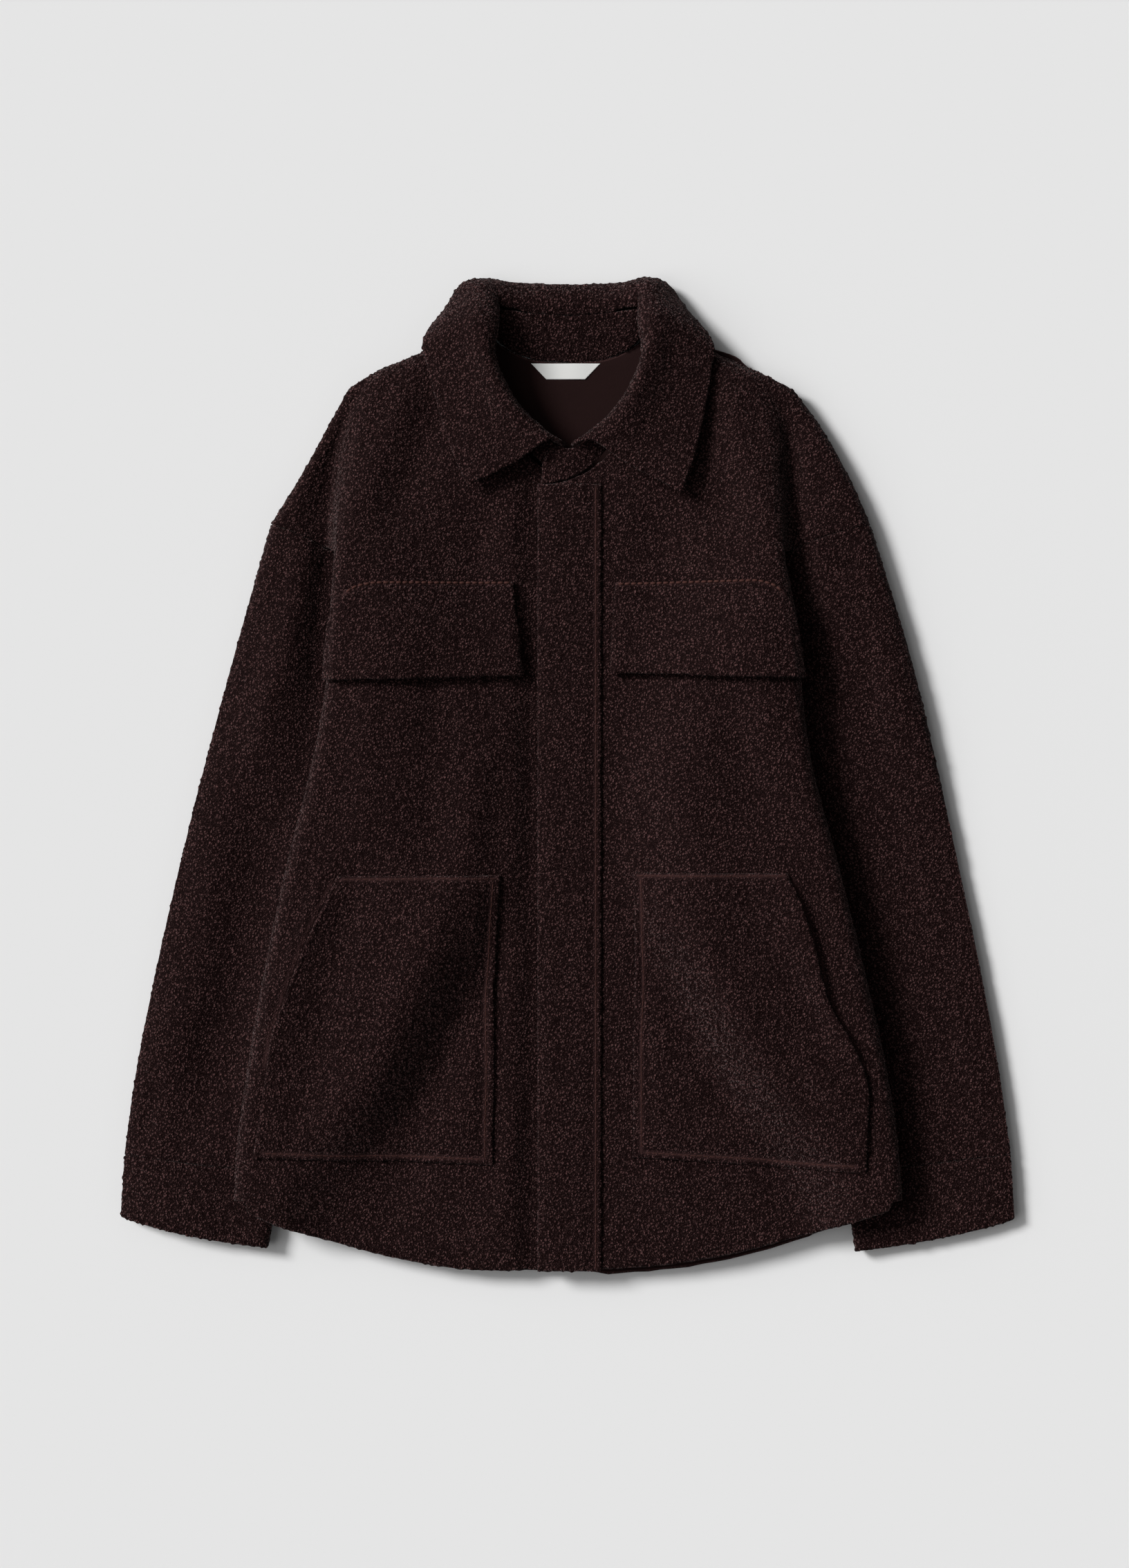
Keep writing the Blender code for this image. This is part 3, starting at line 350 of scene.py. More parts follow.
class Cloth:
    """One layer of cloth: joined grids of points on the face of its pile."""

    def __init__(self):
        self.points, self.faces = [], []

    def grid(self, points, shared=None):
        """Adds a grid of points. shared holds the numbers of points that it has in common with another."""
        number = np.full(points.shape[:2], -1) if shared is None else shared.copy()
        fresh = number < 0
        number[fresh] = len(self.points) + np.arange(fresh.sum())
        self.points += list(points[fresh])
        corners = [number[:-1, :-1], number[1:, :-1], number[1:, 1:], number[:-1, 1:]]
        self.faces.append(np.stack(corners, axis=-1).reshape(-1, 4))
        return number

    def normals(self, points, faces):
        corners = points[faces]
        area = np.cross(corners[:, 2] - corners[:, 0], corners[:, 3] - corners[:, 1])
        total = np.zeros_like(points)
        for k in range(4):
            np.add.at(total, faces[:, k], area)
        return total / np.linalg.norm(total, axis=1)[:, None]

    def rim(self, points, normal, faces):
        """The edges with cloth on one side only, and the way out of the cloth at their points."""
        pairs = {(f[k - 1], f[k]) for f in faces.tolist() for k in range(4)}
        open_edges = sorted((a, b) for a, b in pairs if (b, a) not in pairs)
        run = np.zeros_like(points)
        for a, b in open_edges:
            run[a] += points[b] - points[a]
            run[b] += points[b] - points[a]
        out = np.cross(run, normal)
        size = np.linalg.norm(out, axis=1)
        out[size > 0] /= size[size > 0][:, None]
        return open_edges, out

    def wall(self, name, side, root=PILE_ROOT, thick=CLOTH, both_sides=False, cuts=3, pressed=()):
        """A closed wall with rolled edges and fine faces where it has pile.

        pressed holds lines of sewing, in plan, that hold the pile down.
        """
        faces = np.concatenate(self.faces)
        points = np.array(self.points)
        normal = self.normals(points, faces)
        open_edges, out = self.rim(points, normal, faces)
        points = points - normal * root - out * thick / 2
        count = len(points)
        middle = points - normal * thick / 2
        turns = np.radians([0, 45, 90, 135, 180])
        rings = [middle + (normal * np.cos(a) + out * np.sin(a)) * thick / 2 for a in turns]
        on_rim = np.unique(open_edges)
        vertices = list(rings[0]) + list(rings[4])
        pile = [1.0] * count + [1.0 if both_sides else 0.0] * count
        number = {0: {n: n for n in on_rim}, 4: {n: n + count for n in on_rim}}
        for k, share in ((1, 1.0), (2, 1.0), (3, 0.8)):
            number[k] = {n: len(vertices) + i for i, n in enumerate(on_rim)}
            vertices += list(rings[k][on_rim])
            pile += [share] * len(on_rim)
        quads = faces.tolist() + [[n + count for n in reversed(f)] for f in faces.tolist()]
        for a, b in open_edges:
            quads += [[number[k][b], number[k][a], number[k + 1][a], number[k + 1][b]] for k in range(4)]
        vertices = np.array(vertices)
        if side == "right":
            vertices[:, 0] *= -1
            quads = [q[::-1] for q in quads]
        mesh = bpy.data.meshes.new(name)
        mesh.from_pydata(((vertices - MIDDLE) * MM).tolist(), [], quads)
        work = bmesh.new()
        work.from_mesh(mesh)
        layer = work.verts.layers.float.new("pile")
        for vertex, share in zip(work.verts, pile):
            vertex[layer] = share
        work.faces.ensure_lookup_table()
        if not both_sides:
            for face in work.faces[len(faces):2 * len(faces)]:
                face.material_index = 1
        fine = [e for e in work.edges if any(f.material_index == 0 for f in e.link_faces)]
        bmesh.ops.subdivide_edges(work, edges=fine, cuts=cuts, use_grid_fill=True)
        work.to_mesh(mesh)
        work.free()
        mesh.shade_smooth()
        for line in pressed:
            press_pile(mesh, side, line)
        piece = bpy.data.objects.new(name, mesh)
        bpy.context.scene.collection.objects.link(piece)
        mesh.materials.append(FLEECE)
        mesh.materials.append(JERSEY)
        return piece


PRESSED_DOWN = 0.75  # the part of the pile that sewing flattens
PRESSED_WIDTH = 1.3


def press_pile(mesh, side, line):
    """Holds the pile down along a line given in plan, of sewing or beside an open edge, and paints it there
    with the pressed shade.
    """
    place, pile = np.zeros(len(mesh.vertices) * 3), np.zeros(len(mesh.vertices))
    mesh.vertices.foreach_get("co", place)
    mesh.attributes["pile"].data.foreach_get("value", pile)
    place = place.reshape(-1, 3) / MM + MIDDLE
    x, y = place[:, 0] * SIGN[side or "left"], place[:, 1]
    best = np.full(len(x), 1e9)
    for (x1, y1), (x2, y2) in zip(line[:-1], line[1:]):
        run_x, run_y = x2 - x1, y2 - y1
        t = np.clip(((x - x1) * run_x + (y - y1) * run_y) / (run_x ** 2 + run_y ** 2), 0, 1)
        best = np.minimum(best, np.hypot(x - x1 - t * run_x, y - y1 - t * run_y))
    left = 1 - PRESSED_DOWN * np.exp(-(best / PRESSED_WIDTH) ** 2)
    mesh.attributes["pile"].data.foreach_set("value", pile * left)


def grow_pile(piece, curl_size=3.6, height=1.5):
    grown = piece.modifiers.new("pile", "NODES")
    grown.node_group = PILE
    for socket in PILE.interface.items_tree:
        if socket.name == "Curl Size":
            grown[socket.identifier] = curl_size * MM
        if socket.name == "Pile Height":
            grown[socket.identifier] = height * MM
    return piece


def place_piece(piece, node):
    """The piece stands for a node of the frame and rides on it."""
    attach(piece, "root")
    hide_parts(node)
    return piece


def ring_place(turn, width, thick):
    """Across and height of a flattened tube.

    turn is 0-1 up the outer edge, 1-2 over the top, 2-3 down the inner edge and 3-4 back under it.
    """
    half, part, t = thick / 2, np.floor(turn), turn % 1
    angle = (t - 0.5) * np.pi
    across = np.select(
        [part == 0, part == 1, part == 2],
        [half - half * np.cos(angle), mix(half, width - half, t), width - half + half * np.cos(angle)],
        mix(width - half, half, t))
    height = np.select(
        [part == 0, part == 1, part == 2],
        [half + half * np.sin(angle), thick + 0 * width, half - half * np.sin(angle)], 0 * width)
    return across, height


def tube(side, table, rows, turns, thick, folds=(), bow=0.0, hollow_end=0.0, begun=0):
    """Points round the flattened tube of a sleeve or a cuff, with folds in its upper layer.

    begun is 1 where the tube carries on from another one.
    """
    outer = np.stack([table.at("outer_x", rows), table.at("outer_y", rows)], axis=-1)[:, None]
    inner = np.stack([table.at("inner_x", rows), table.at("inner_y", rows)], axis=-1)[:, None]
    line, v = inner - outer, rows[:, None]
    width = np.linalg.norm(line, axis=-1)
    square = np.stack([line[..., 1], -line[..., 0]], axis=-1) / width[..., None]
    across, height = ring_place(turns[None, :], width, thick)
    q = across / width
    bend = bow * smooth(height / thick * 1.6 - 0.4) * np.clip(1 - v / 0.35, 0, 1) ** 2 - hollow_end * v
    place = outer + line * q[..., None] + square * (bend * 4 * q * (1 - q))[..., None]
    x, y = place[..., 0], place[..., 1]
    shown = smooth((x - fold_line(side, np.maximum(y, HEM_CORNER)) - 4) / 12)
    fall = SLEEVE_FALL[side] * np.clip(1 - across / SLEEVE_ROLL, 0, 1) ** 2
    rise = relief(folds, x, y) - fall * smooth(begun + v / 0.2)
    rise = np.where(rise > 0, rise * shown, rise) - beside_body(side, x, y)
    spare = thick - BOTH_LAYERS + rise
    rise = rise - spare + (spare + np.sqrt(spare ** 2 + 1)) / 2
    height = height + np.clip(height / thick * 2 - 1, 0, 1) * rise
    rings = np.dstack([place, height])
    cloth = Cloth()
    shared = np.arange(rings.shape[0] * rings.shape[1]).reshape(rings.shape[:2])
    cloth.points = list(rings.reshape(-1, 3))
    cloth.grid(np.concatenate([rings, rings[:, :1]], axis=1)[:, ::-1],
               np.concatenate([shared, shared[:, :1]], axis=1)[:, ::-1])
    return cloth


def turns_round(over, under):
    """Places round a tube: fine over its edges and its upper layer, coarse under it."""
    edge = np.linspace(0, 1, 7)[:-1]
    return np.r_[edge, 1 + np.linspace(0, 1, over)[:-1], 2 + edge, 3 + np.linspace(0, 1, under)[:-1]]


for side in ("right", "left"):
    sleeve = tube(side, SLEEVE[side], np.linspace(0, 1, 94), turns_round(28, 10), SLEEVE_THICK,
                  SLEEVE_FOLDS[side], ARMHOLE_BOW[side])
    sleeve = place_piece(grow_pile(sleeve.wall(f"sleeve_{side}_cloth", side, cuts=2)), f"sleeve_{side}")

# CUFFS
# A plain band of the same fleece closes each sleeve. It is joined to it by a seam that shows as a thin
# line, and lies pressed flat.

CUFF = {
    "right": Table(
        "v outer_x outer_y inner_x inner_y",
        (0, 349, -296, 224, -311), (1, 352, -345, 234, -369)),
    "left": Table(
        "v outer_x outer_y inner_x inner_y",
        (0, 348, -296, 215, -311), (1, 351, -347, 224, -372)),
}
CUFF_THICK = 18.0

for side in ("right", "left"):
    cuff = tube(side, CUFF[side], np.linspace(0.01, 1, 9), turns_round(21, 8), CUFF_THICK,
                hollow_end=3.0, begun=1)
    cuff = place_piece(grow_pile(cuff.wall(f"cuff_{side}_cloth", side)), f"cuff_{side}")

# BACK
# One panel from the shoulders to a curved shirt-tail hem. It lies flat on the surface in the middle and
# climbs onto the sleeves at the sides. Its smooth knit inner side shows inside the neck.

SHOULDER = {
    "right": ((68, 353), (134, 326), (173, 305), (185, 283), (209, 239), (234, 198)),
    "left": ((68, 353), (130, 326), (177, 304), (193, 283), (219, 239), (238, 197)),
}
NOTCH = {"right": (234, 198), "left": (238, 197)}
UNDERARM = {"right": (88, 72), "left": (85, 68)}
HEM = {
    "right": Table(
        "x y",
        (-24, -386), (25, -386), (82, -385), (131, -377), (195, -360), (228, -349), (252, -337),
        (261, -330)),
    "left": Table(
        "x y",
        (-24, -387), (26, -385), (80, -381), (129, -373), (177, -360), (231, -344), (252, -336),
        (261, -330)),
}
BACK_HEM_DROP = {"right": 0.0, "left": 5.5}
BACK_RAMP = 26.0
BODY_OVER_SLEEVE = 19.6
WRAP_REACH = 9.0
WRAP_UNDER = 14.0
SEAM = 0.3
BACK_NECK_LEVEL = 325.0
NECK_BACK = ((68, 353), (52, 338), (30, 328), (0, BACK_NECK_LEVEL))
BACK_NECK_SHARE = 0.36


def along(points, t):
    """Points at fractions t of the length of a smooth curve through the given ones."""
    points = np.asarray(points, float)
    reach = np.r_[0, np.cumsum(np.linalg.norm(np.diff(points, axis=0), axis=1))]
    reach /= reach[-1]
    columns = [Table("t value", *zip(reach, c)).at("value", t) for c in points.T]
    return np.stack(columns, axis=-1)


def armhole(side, q):
    """The armhole seam in plan: q runs from the shoulder notch (0) to the underarm (1)."""
    notch, underarm = np.array(NOTCH[side], float), np.array(UNDERARM[side], float)
    q = np.asarray(q, float)[..., None]
    return notch + (underarm - notch) * q + armhole_rise(side) * ARMHOLE_BOW[side] * 4 * q * (1 - q)


def armhole_rise(side):
    line = np.array(UNDERARM[side], float) - NOTCH[side]
    return np.array([line[1], -line[0]]) / np.hypot(*line)


def outline_distance(side, x, y):
    """Distance in plan to the folded outline of the shoulder, from the neck to the notch."""
    ends = along(SHOULDER[side], np.linspace(0, 1, 40))
    best = np.full(np.shape(x), 1e9)
    for a, b in zip(ends[:-1], ends[1:]):
        run = b - a
        t = np.clip(((x - a[0]) * run[0] + (y - a[1]) * run[1]) / run.dot(run), 0, 1)
        best = np.minimum(best, np.hypot(x - a[0] - t * run[0], y - a[1] - t * run[1]))
    return best


def shoulder_roll(side, x, y):
    """Nought on the shoulder's folded outline, 1 where the cloth lies level."""
    t = np.clip(outline_distance(side, x, y) / (SLEEVE_THICK / 2), 0, 1)
    return np.sqrt(1 - (1 - t) ** 2)


def wrap_edge(side, y):
    return fold_line(side, y) - WRAP_REACH - WRAP_UNDER - SEAM


def back_shoulders(side, lanes, level_under):
    """The back above the underarms: rows from the shoulder down, each from the centre to the armhole."""
    places = np.r_[np.linspace(0, 0.9, 16), 0.94, 0.97, 1]
    top = along([SHOULDER[side][0], (134, 325.6), SHOULDER[side][2]], places)
    middle = np.stack([lanes * (UNDERARM[side][0] - BACK_RAMP), np.full(len(lanes), level_under)], axis=-1)
    q = np.linspace(1, 0, len(places) - len(lanes))
    lower = np.array(NOTCH[side]) + (np.array(UNDERARM[side]) - NOTCH[side]) * q[:, None]
    bottom = np.vstack([middle, lower])
    v = np.r_[0, 0.01, 0.03, np.linspace(0.06, BACK_NECK_SHARE, 9), np.linspace(0.4, 1, 14)]
    neck = along(NECK_BACK, np.minimum(v / BACK_NECK_SHARE, 1))
    low = v > BACK_NECK_SHARE
    down = (v[low] - BACK_NECK_SHARE) / (1 - BACK_NECK_SHARE)
    neck[low] = np.stack([0 * down, mix(BACK_NECK_LEVEL, level_under, down)], axis=-1)
    outline = along(SHOULDER[side][2:], v)
    across = np.linalg.norm(top - top[0], axis=1) / np.linalg.norm(top[-1] - top[0])
    s = mix(across, np.linspace(0, 1, len(across)), 0.5)[None, :, None]
    t = v[:, None, None]
    corners = mix(mix(top[0], top[-1], s), mix(bottom[0], bottom[-1], s), t)
    plan = mix(top[None], bottom[None], t) + mix(neck[:, None], outline[:, None], s) - corners
    plan[-1, len(lanes):] += armhole_rise(side) * (SEAM + 1.2 * (1 - q) ** 2)[:, None]
    x, y = plan[..., 0], plan[..., 1]
    height = (SLEEVE_THICK - SEAM) / 2 * (1 - shoulder_roll(side, x, y))
    return np.dstack([x * SIGN[side], y, height]), int(np.argmax(v >= BACK_NECK_SHARE))


def back_skirt(side, lanes, level_under):
    """The back below the underarms: rows down to the hem, each from the centre to the side seam."""
    ramp, beyond = np.linspace(0, 1, 7), np.linspace(0, 1, 6)[1:]
    count = len(lanes) - 1 + len(ramp) + len(beyond)

    def lane_x(y):
        foot = SLEEVE[side].at("inner_x", y, key="inner_y") - BACK_RAMP
        top = foot + BACK_RAMP + 2
        parts = [lanes[:-1] * foot, foot + ramp * (top - foot), top + beyond * (wrap_edge(side, y) - top)]
        return np.concatenate(parts)

    top_y = np.full(count, level_under)
    seam_points = armhole(side, np.linspace(1, 0, 300)) - armhole_rise(side) * SEAM / 2
    for j in range(len(lanes) - 1 + len(ramp) - 1, count):
        lane = np.array([lane_x(py)[j] - px for px, py in seam_points])
        top_y[j] = seam_points[int(np.argmin(np.abs(lane))), 1]
    end_x = lane_x(HEM_CORNER)
    drop = BACK_HEM_DROP[side] * smooth((230 - end_x) / 60)
    rows = []
    for t in np.linspace(0, 1, 34):
        y = mix(top_y, HEM[side].at("y", end_x) - drop, t)
        x = np.array([lane_x(y[j])[j] for j in range(count)])
        foot = SLEEVE[side].at("inner_x", y, key="inner_y") - BACK_RAMP
        height = BODY_OVER_SLEEVE * smooth((x - foot) / (BACK_RAMP + 2))
        rows.append(np.stack([x * SIGN[side], y, height], axis=-1))
    return np.array(rows)


def join_sides(cloth, halves, joined_from, top_rows=None):
    """Adds the right and the left half of a panel, which share their points down the centre."""
    numbers = {}
    for side in ("right", "left"):
        points = halves[side]
        shared = np.full(points.shape[:2], -1)
        if top_rows:
            shared[0, :top_rows[side].size] = top_rows[side]
        if side == "left":
            shared[joined_from:, 0] = numbers["right"][joined_from:, 0]
            numbers[side] = cloth.grid(points[:, ::-1], shared[:, ::-1])[:, ::-1]
        else:
            numbers[side] = cloth.grid(points, shared)
    return numbers


back = Cloth()
back_lanes = np.linspace(0, 1, 7)
back_level = UNDERARM["right"][1] - 3.0
shoulders = {side: back_shoulders(side, back_lanes, back_level) for side in ("right", "left")}
numbers = join_sides(back, {side: shoulders[side][0] for side in shoulders}, shoulders["right"][1])
join_sides(back, {side: back_skirt(side, back_lanes, back_level) for side in ("right", "left")}, 0,
           {side: numbers[side][-1, :len(back_lanes)] for side in ("right", "left")})
back = place_piece(grow_pile(back.wall("back_cloth", None, cuts=2), 4.0, 1.2), "back")

# FRONTS
# Two panels of fleece from the shoulder and neck to the curved hem. Each rolls over the side fold and
# runs on under the body to its seam with the back. The left one laps over the right one.

YOKE_LEVEL = 176.0
CREASE_TOP = 319.0
LAP_TOP = 227.0
LAP_DIP = 5.6
LAP_REACH = 21.0
POCKET_EDGE = 55.0
LAST_LEVEL_ROW = -302.0
FOLD_REACH = 12.0
CAP_HEIGHT = 19.0
FRONT_NECK_SHARE = 0.77
NECK_FRONT = (
    (68, 353), (66, 330), (60, 305), (48, 277), (30, 250), (8, 234), (-8, 229), (-LAP_REACH, LAP_TOP))
FRONT_HEIGHT = Table(
    "y centre over_sleeve ramp_x ramp_half",
    (353, 21, 22, 150, 60), (304, 23, 24, 145, 60), (230, 26, 33, 130, 55), (176, 26, 40, 118, 50),
    (67, 26, 42, 84, 46), (-14, 26, 42, 66, 38), (-95, 26, 42, 68, 34), (-171, 25, 42, 98, 34),
    (-236, 24, 41, 135, 34), (-300, 22, 39, 186, 32), (-330, 21, 38, 200, 30), (-386, 20, 34, 212, 26))

# Soft folds of the fronts: both ends, the width across, and the height (below nought, a trough)
FOLDS = {
    "right": (
        (104, 100, 102, -85, 30, -6.0), (152, 120, 160, -60, 18, 2.0), (120, 318, 168, 196, 20, 3.0),
        (96, 300, 140, 190, 22, -3.0), (96, -92, 192, -345, 28, 3.6), (56, -112, 150, -360, 26, -3.6),
        (160, -60, 216, -300, 24, -3.0), (60, 215, 76, 160, 20, -2.0), (40, 60, 84, -60, 22, 1.6),
        (188, -77, 239, -202, 8, 2.4),
        (52, 30, 60, -80, 16, -1.6), (34, -250, 62, -372, 18, 2.0), (84, 64, 140, 40, 12, 1.2)),
    "left": (
        (120, 316, 156, 190, 20, 3.0), (90, 300, 128, 185, 22, -3.0), (140, 130, 160, 30, 22, 2.5),
        (112, 80, 150, -40, 26, -3.5), (60, 30, 120, -90, 24, 2.2), (92, -112, 172, -250, 22, 3.2),
        (58, -118, 132, -262, 22, -4.0), (130, -90, 206, -210, 20, -3.0), (60, 210, 80, 165, 20, -2.0),
        (176, -215, 222, -262, 14, 2.6), (60, -300, 120, -370, 20, 2.0), (150, -300, 190, -350, 20, -2.2)),
}


def front_top(side, x, y):
    """Height of a front's outer face, before it rolls over at the side."""
    table = FRONT_HEIGHT
    centre, over = table.at("centre", y), table.at("over_sleeve", y)
    ramp = (x - table.at("ramp_x", y)) / table.at("ramp_half", y)
    height = mix(centre, over, smooth(0.5 + 0.5 * ramp))
    # The folds die out towards the side fold, the placket and the shoulder
    calm = smooth((fold_line(side, y) - x) / 22) * smooth((x - 30) / 20)
    calm = calm * smooth((outline_distance(side, x, y) - 4) / 16)
    height = height + relief(FOLDS[side], x, y) * calm
    if side == "right":
        height = height - LAP_DIP * smooth((46 - x) / 20)
    return height


def side_roll(side, x, y):
    """A front's outer face out to the side fold, where it turns down."""
    fold = fold_line(side, y)
    top = front_top(side, np.minimum(x, fold - FOLD_REACH), y)
    turn = np.clip((x - fold + FOLD_REACH) / FOLD_REACH, 0, 1)
    return top - (top - BODY_OVER_SLEEVE) / 2 * (1 - np.sqrt(1 - turn ** 2))


def turned(count):
    """Places across a rolled edge, from the level cloth (0) to its outermost line (1)."""
    return np.sin(np.linspace(0, np.pi / 2, count + 1))[1:]


def front_yoke(side, v, inner, roll, foot, cap, outer):
    """The front above the armhole's visible end, in rows from the shoulder down.

    Each row runs from the neck over the side fold and out to the shoulder's outline.
    """
    crease_y = mix(CREASE_TOP, YOKE_LEVEL, v)
    crease = np.stack([fold_line(side, crease_y), crease_y], axis=-1)
    lap = mix(LAP_TOP, YOKE_LEVEL, (v - FRONT_NECK_SHARE) / (1 - FRONT_NECK_SHARE))
    neck = np.where(
        (v < FRONT_NECK_SHARE)[:, None], along(NECK_FRONT, np.minimum(v / FRONT_NECK_SHARE, 1)),
        np.stack([np.full(len(v), -LAP_REACH), lap], axis=-1))
    outline = along(SHOULDER[side][2:], v)
    q = np.linspace(0, 1, 400)
    start = np.interp(-crease[-1, 0], -armhole(side, q)[:, 0], q)
    rows = []
    for a, c, f, share in zip(neck, crease, outline, v):
        inward, outward = (a - c) / np.linalg.norm(a - c), (f - c) / np.linalg.norm(f - c)
        b, e = c + inward * FOLD_REACH, f - outward * SLEEVE_THICK / 2
        d = c + outward * WRAP_REACH
        spans = ((a, b, inner), (b, c, roll), (c, d, foot), (d, e, cap), (e, f, outer))
        plan = np.vstack([p + (r - p) * t[:, None] for p, r, t in spans])
        beyond = len(inner) + len(roll) - 1
        g = np.linalg.norm(plan[beyond:] - c, axis=1) / np.linalg.norm(f - c)
        straight = crease[-1] + (outline[-1] - crease[-1]) * g[:, None]
        plan[beyond:] += share ** 2 * (armhole(side, start * (1 - g)) - straight)
        rows.append(plan)
    plan, crease_column, first_roll = np.array(rows), len(inner) + len(roll) - 1, len(inner) - 1
    x, y = plan[..., 0], plan[..., 1]
    edge_top = front_top(side, x[:, first_roll], y[:, first_roll])[:, None]
    fold_x, fold_y = x[:, crease_column][:, None], y[:, crease_column][:, None]
    drop = edge_top - CAP_HEIGHT
    away = np.hypot(x - fold_x, y - fold_y) * np.sign(x - fold_x + 1e-9)
    inner_turn = np.clip(1 + away / FOLD_REACH, 0, 1)
    outer_turn = np.clip(away / WRAP_REACH, 0, 1)
    arc = np.where(
        away <= 0, edge_top - drop / 2 * (1 - np.sqrt(1 - inner_turn ** 2)),
        CAP_HEIGHT + drop / 2 * (1 - np.sqrt(1 - (1 - outer_turn) ** 2)))
    step = edge_top - drop * smooth((away + FOLD_REACH) / (FOLD_REACH + WRAP_REACH))
    rolled = mix(step, arc, smooth((v - 0.45) / 0.55)[:, None])
    level = np.where(away < -FOLD_REACH, front_top(side, x, y), rolled)
    level = level - beside_body(side, x, y) * smooth(away / WRAP_REACH)
    half = SLEEVE_THICK / 2
    return np.dstack([plan, half + (level - half) * shoulder_roll(side, x, y)])


def front_body(side, size=6.2):
    """The front's outer face below that, down to the hem.

    Level rows run down to the pockets' foot, and the rows below them turn into the hem. The columns run from
    the lapped edge, past the pocket's inner edge, to the side fold.
    """
    level_rows = steps(YOKE_LEVEL, LAST_LEVEL_ROW, size)
    shares = np.linspace(0, 1, 14)[1:]
    at_fold = np.r_[level_rows, mix(LAST_LEVEL_ROW, HEM_CORNER, shares)]
    edge = (fold_line(side, at_fold) - FOLD_REACH)[:, None]
    near = steps(-LAP_REACH, POCKET_EDGE, size)[None, :-1] + 0 * edge
    far = POCKET_EDGE + (edge - POCKET_EDGE) * np.linspace(0, 1, 26)[None, :]
    x = np.hstack([near, far, edge + FOLD_REACH * turned(4)[None, :]])
    y = at_fold[:, None] + 0 * x
    hem = HEM[side].at("y", x[-1])
    y[-len(shares):] = LAST_LEVEL_ROW + (hem - LAST_LEVEL_ROW)[None, :] * shares[:, None]
    y[:, -4:] = at_fold[:, None]
    return np.dstack([x, y, side_roll(side, x, y)])


def front_wrap(side, body):
    """The cloth beyond the side fold: it turns under and runs flat to the seam with the back."""
    turn = np.linspace(0, np.pi / 2, 6)
    fold, at_fold, level = body[:, -1, 0], body[:, -1, 1], body[:, -1, 2]
    reach = np.r_[WRAP_REACH * (1 - np.cos(turn)), WRAP_REACH + WRAP_UNDER * np.array([0.5, 1])]
    height = level[:, None] - (level - BODY_OVER_SLEEVE)[:, None] * np.r_[np.sin(turn), 1, 1][None, :]
    q = np.linspace(0, 1, 400)
    start = armhole(side, np.interp(reach - fold[0], -armhole(side, q)[:, 0], q))[:, 1] - SEAM / 2
    fade = np.clip(1 - (YOKE_LEVEL - at_fold) / 150, 0, 1) ** 1.5
    y = at_fold[:, None] + (start - YOKE_LEVEL)[None, :] * fade[:, None]
    return np.dstack([fold_line(side, y) - reach[None, :], y, height])


for side in ("right", "left"):
    front = Cloth()
    body = front_body(side)
    lanes = body.shape[1] - 4
    inner = (body[0, :lanes, 0] - body[0, 0, 0]) / (body[0, lanes - 1, 0] - body[0, 0, 0])
    foot = 1 - np.cos(np.linspace(0, np.pi / 2, 5))[1:]
    down = np.r_[0, 0.012, 0.03, np.linspace(0.07, 1, 23)]
    yoke = front_yoke(side, down, inner, turned(4), foot, np.linspace(0, 1, 7)[1:], turned(4))
    crease = lanes + 4 - 1
    part_way = np.linspace(0, 1, yoke.shape[1] - crease)[:, None]
    yoke[-1, crease:, :2] += armhole_rise(side) * (SEAM / 2 + 0.8 * part_way)
    numbers = front.grid(yoke)
    shared = np.full(body.shape[:2], -1)
    shared[0] = numbers[-1, :crease + 1]
    numbers = front.grid(body, shared)
    wrap = front_wrap(side, body)
    shared = np.full(wrap.shape[:2], -1)
    shared[:, 0] = numbers[:, -1]
    front.grid(wrap, shared)
    front = place_piece(grow_pile(front.wall(f"front_{side}_cloth", side, cuts=2)), f"front_{side}")

# PLACKET
# A separate strip of fleece down the edge of the left front. It hides the fastening, and is sewn along
# the side away from the edge with brown thread.

FLAP_CLOTH = 2.4
LAID_ON = 0.3
PLACKET_FREE = -24.0
PLACKET_SEAM = 26.0
PLACKET_TOP = 228.0
PLACKET_STITCH_X = 21.5
PLACKET_PUFF = 1.0
PLACKET_HELD = 0.9
STITCH = 4.2
STITCH_PITCH = 5.0
THREAD = 0.26
THREAD_SUNK = 0.7  # the middle of the thread lies this far inside the face of the pile
STITCH_PLACES = (0, 0.12, 0.5, 0.88, 1)
STITCH_SINK = (0.6, 0.2, 0, 0.2, 0.6)  # in thread radii, as the girth is
STITCH_GIRTH = (0.45, 0.9, 1, 0.9, 0.45)
STITCH_ROUND = np.linspace(0, 2 * np.pi, 7)[:-1]

BROWN_THREAD, _ = cloth_material(
    "brown_thread", (0.040, 0.016, 0.013), (0.088, 0.038, 0.032), 2500.0, 0.5, 0.1)


def stitch_rings(middle, thread):
    """Points round one stitch, a ring at each place along its middle."""
    run = (middle[-1] - middle[0]) / np.linalg.norm(middle[-1] - middle[0])
    across = np.cross(run, (0, 0, 1))
    across /= np.linalg.norm(across)
    upward = np.cross(across, run)
    rings = zip(middle, thread * np.array(STITCH_GIRTH))
    return [point + radius * (across * np.cos(a) + upward * np.sin(a))
            for point, radius in rings for a in STITCH_ROUND]


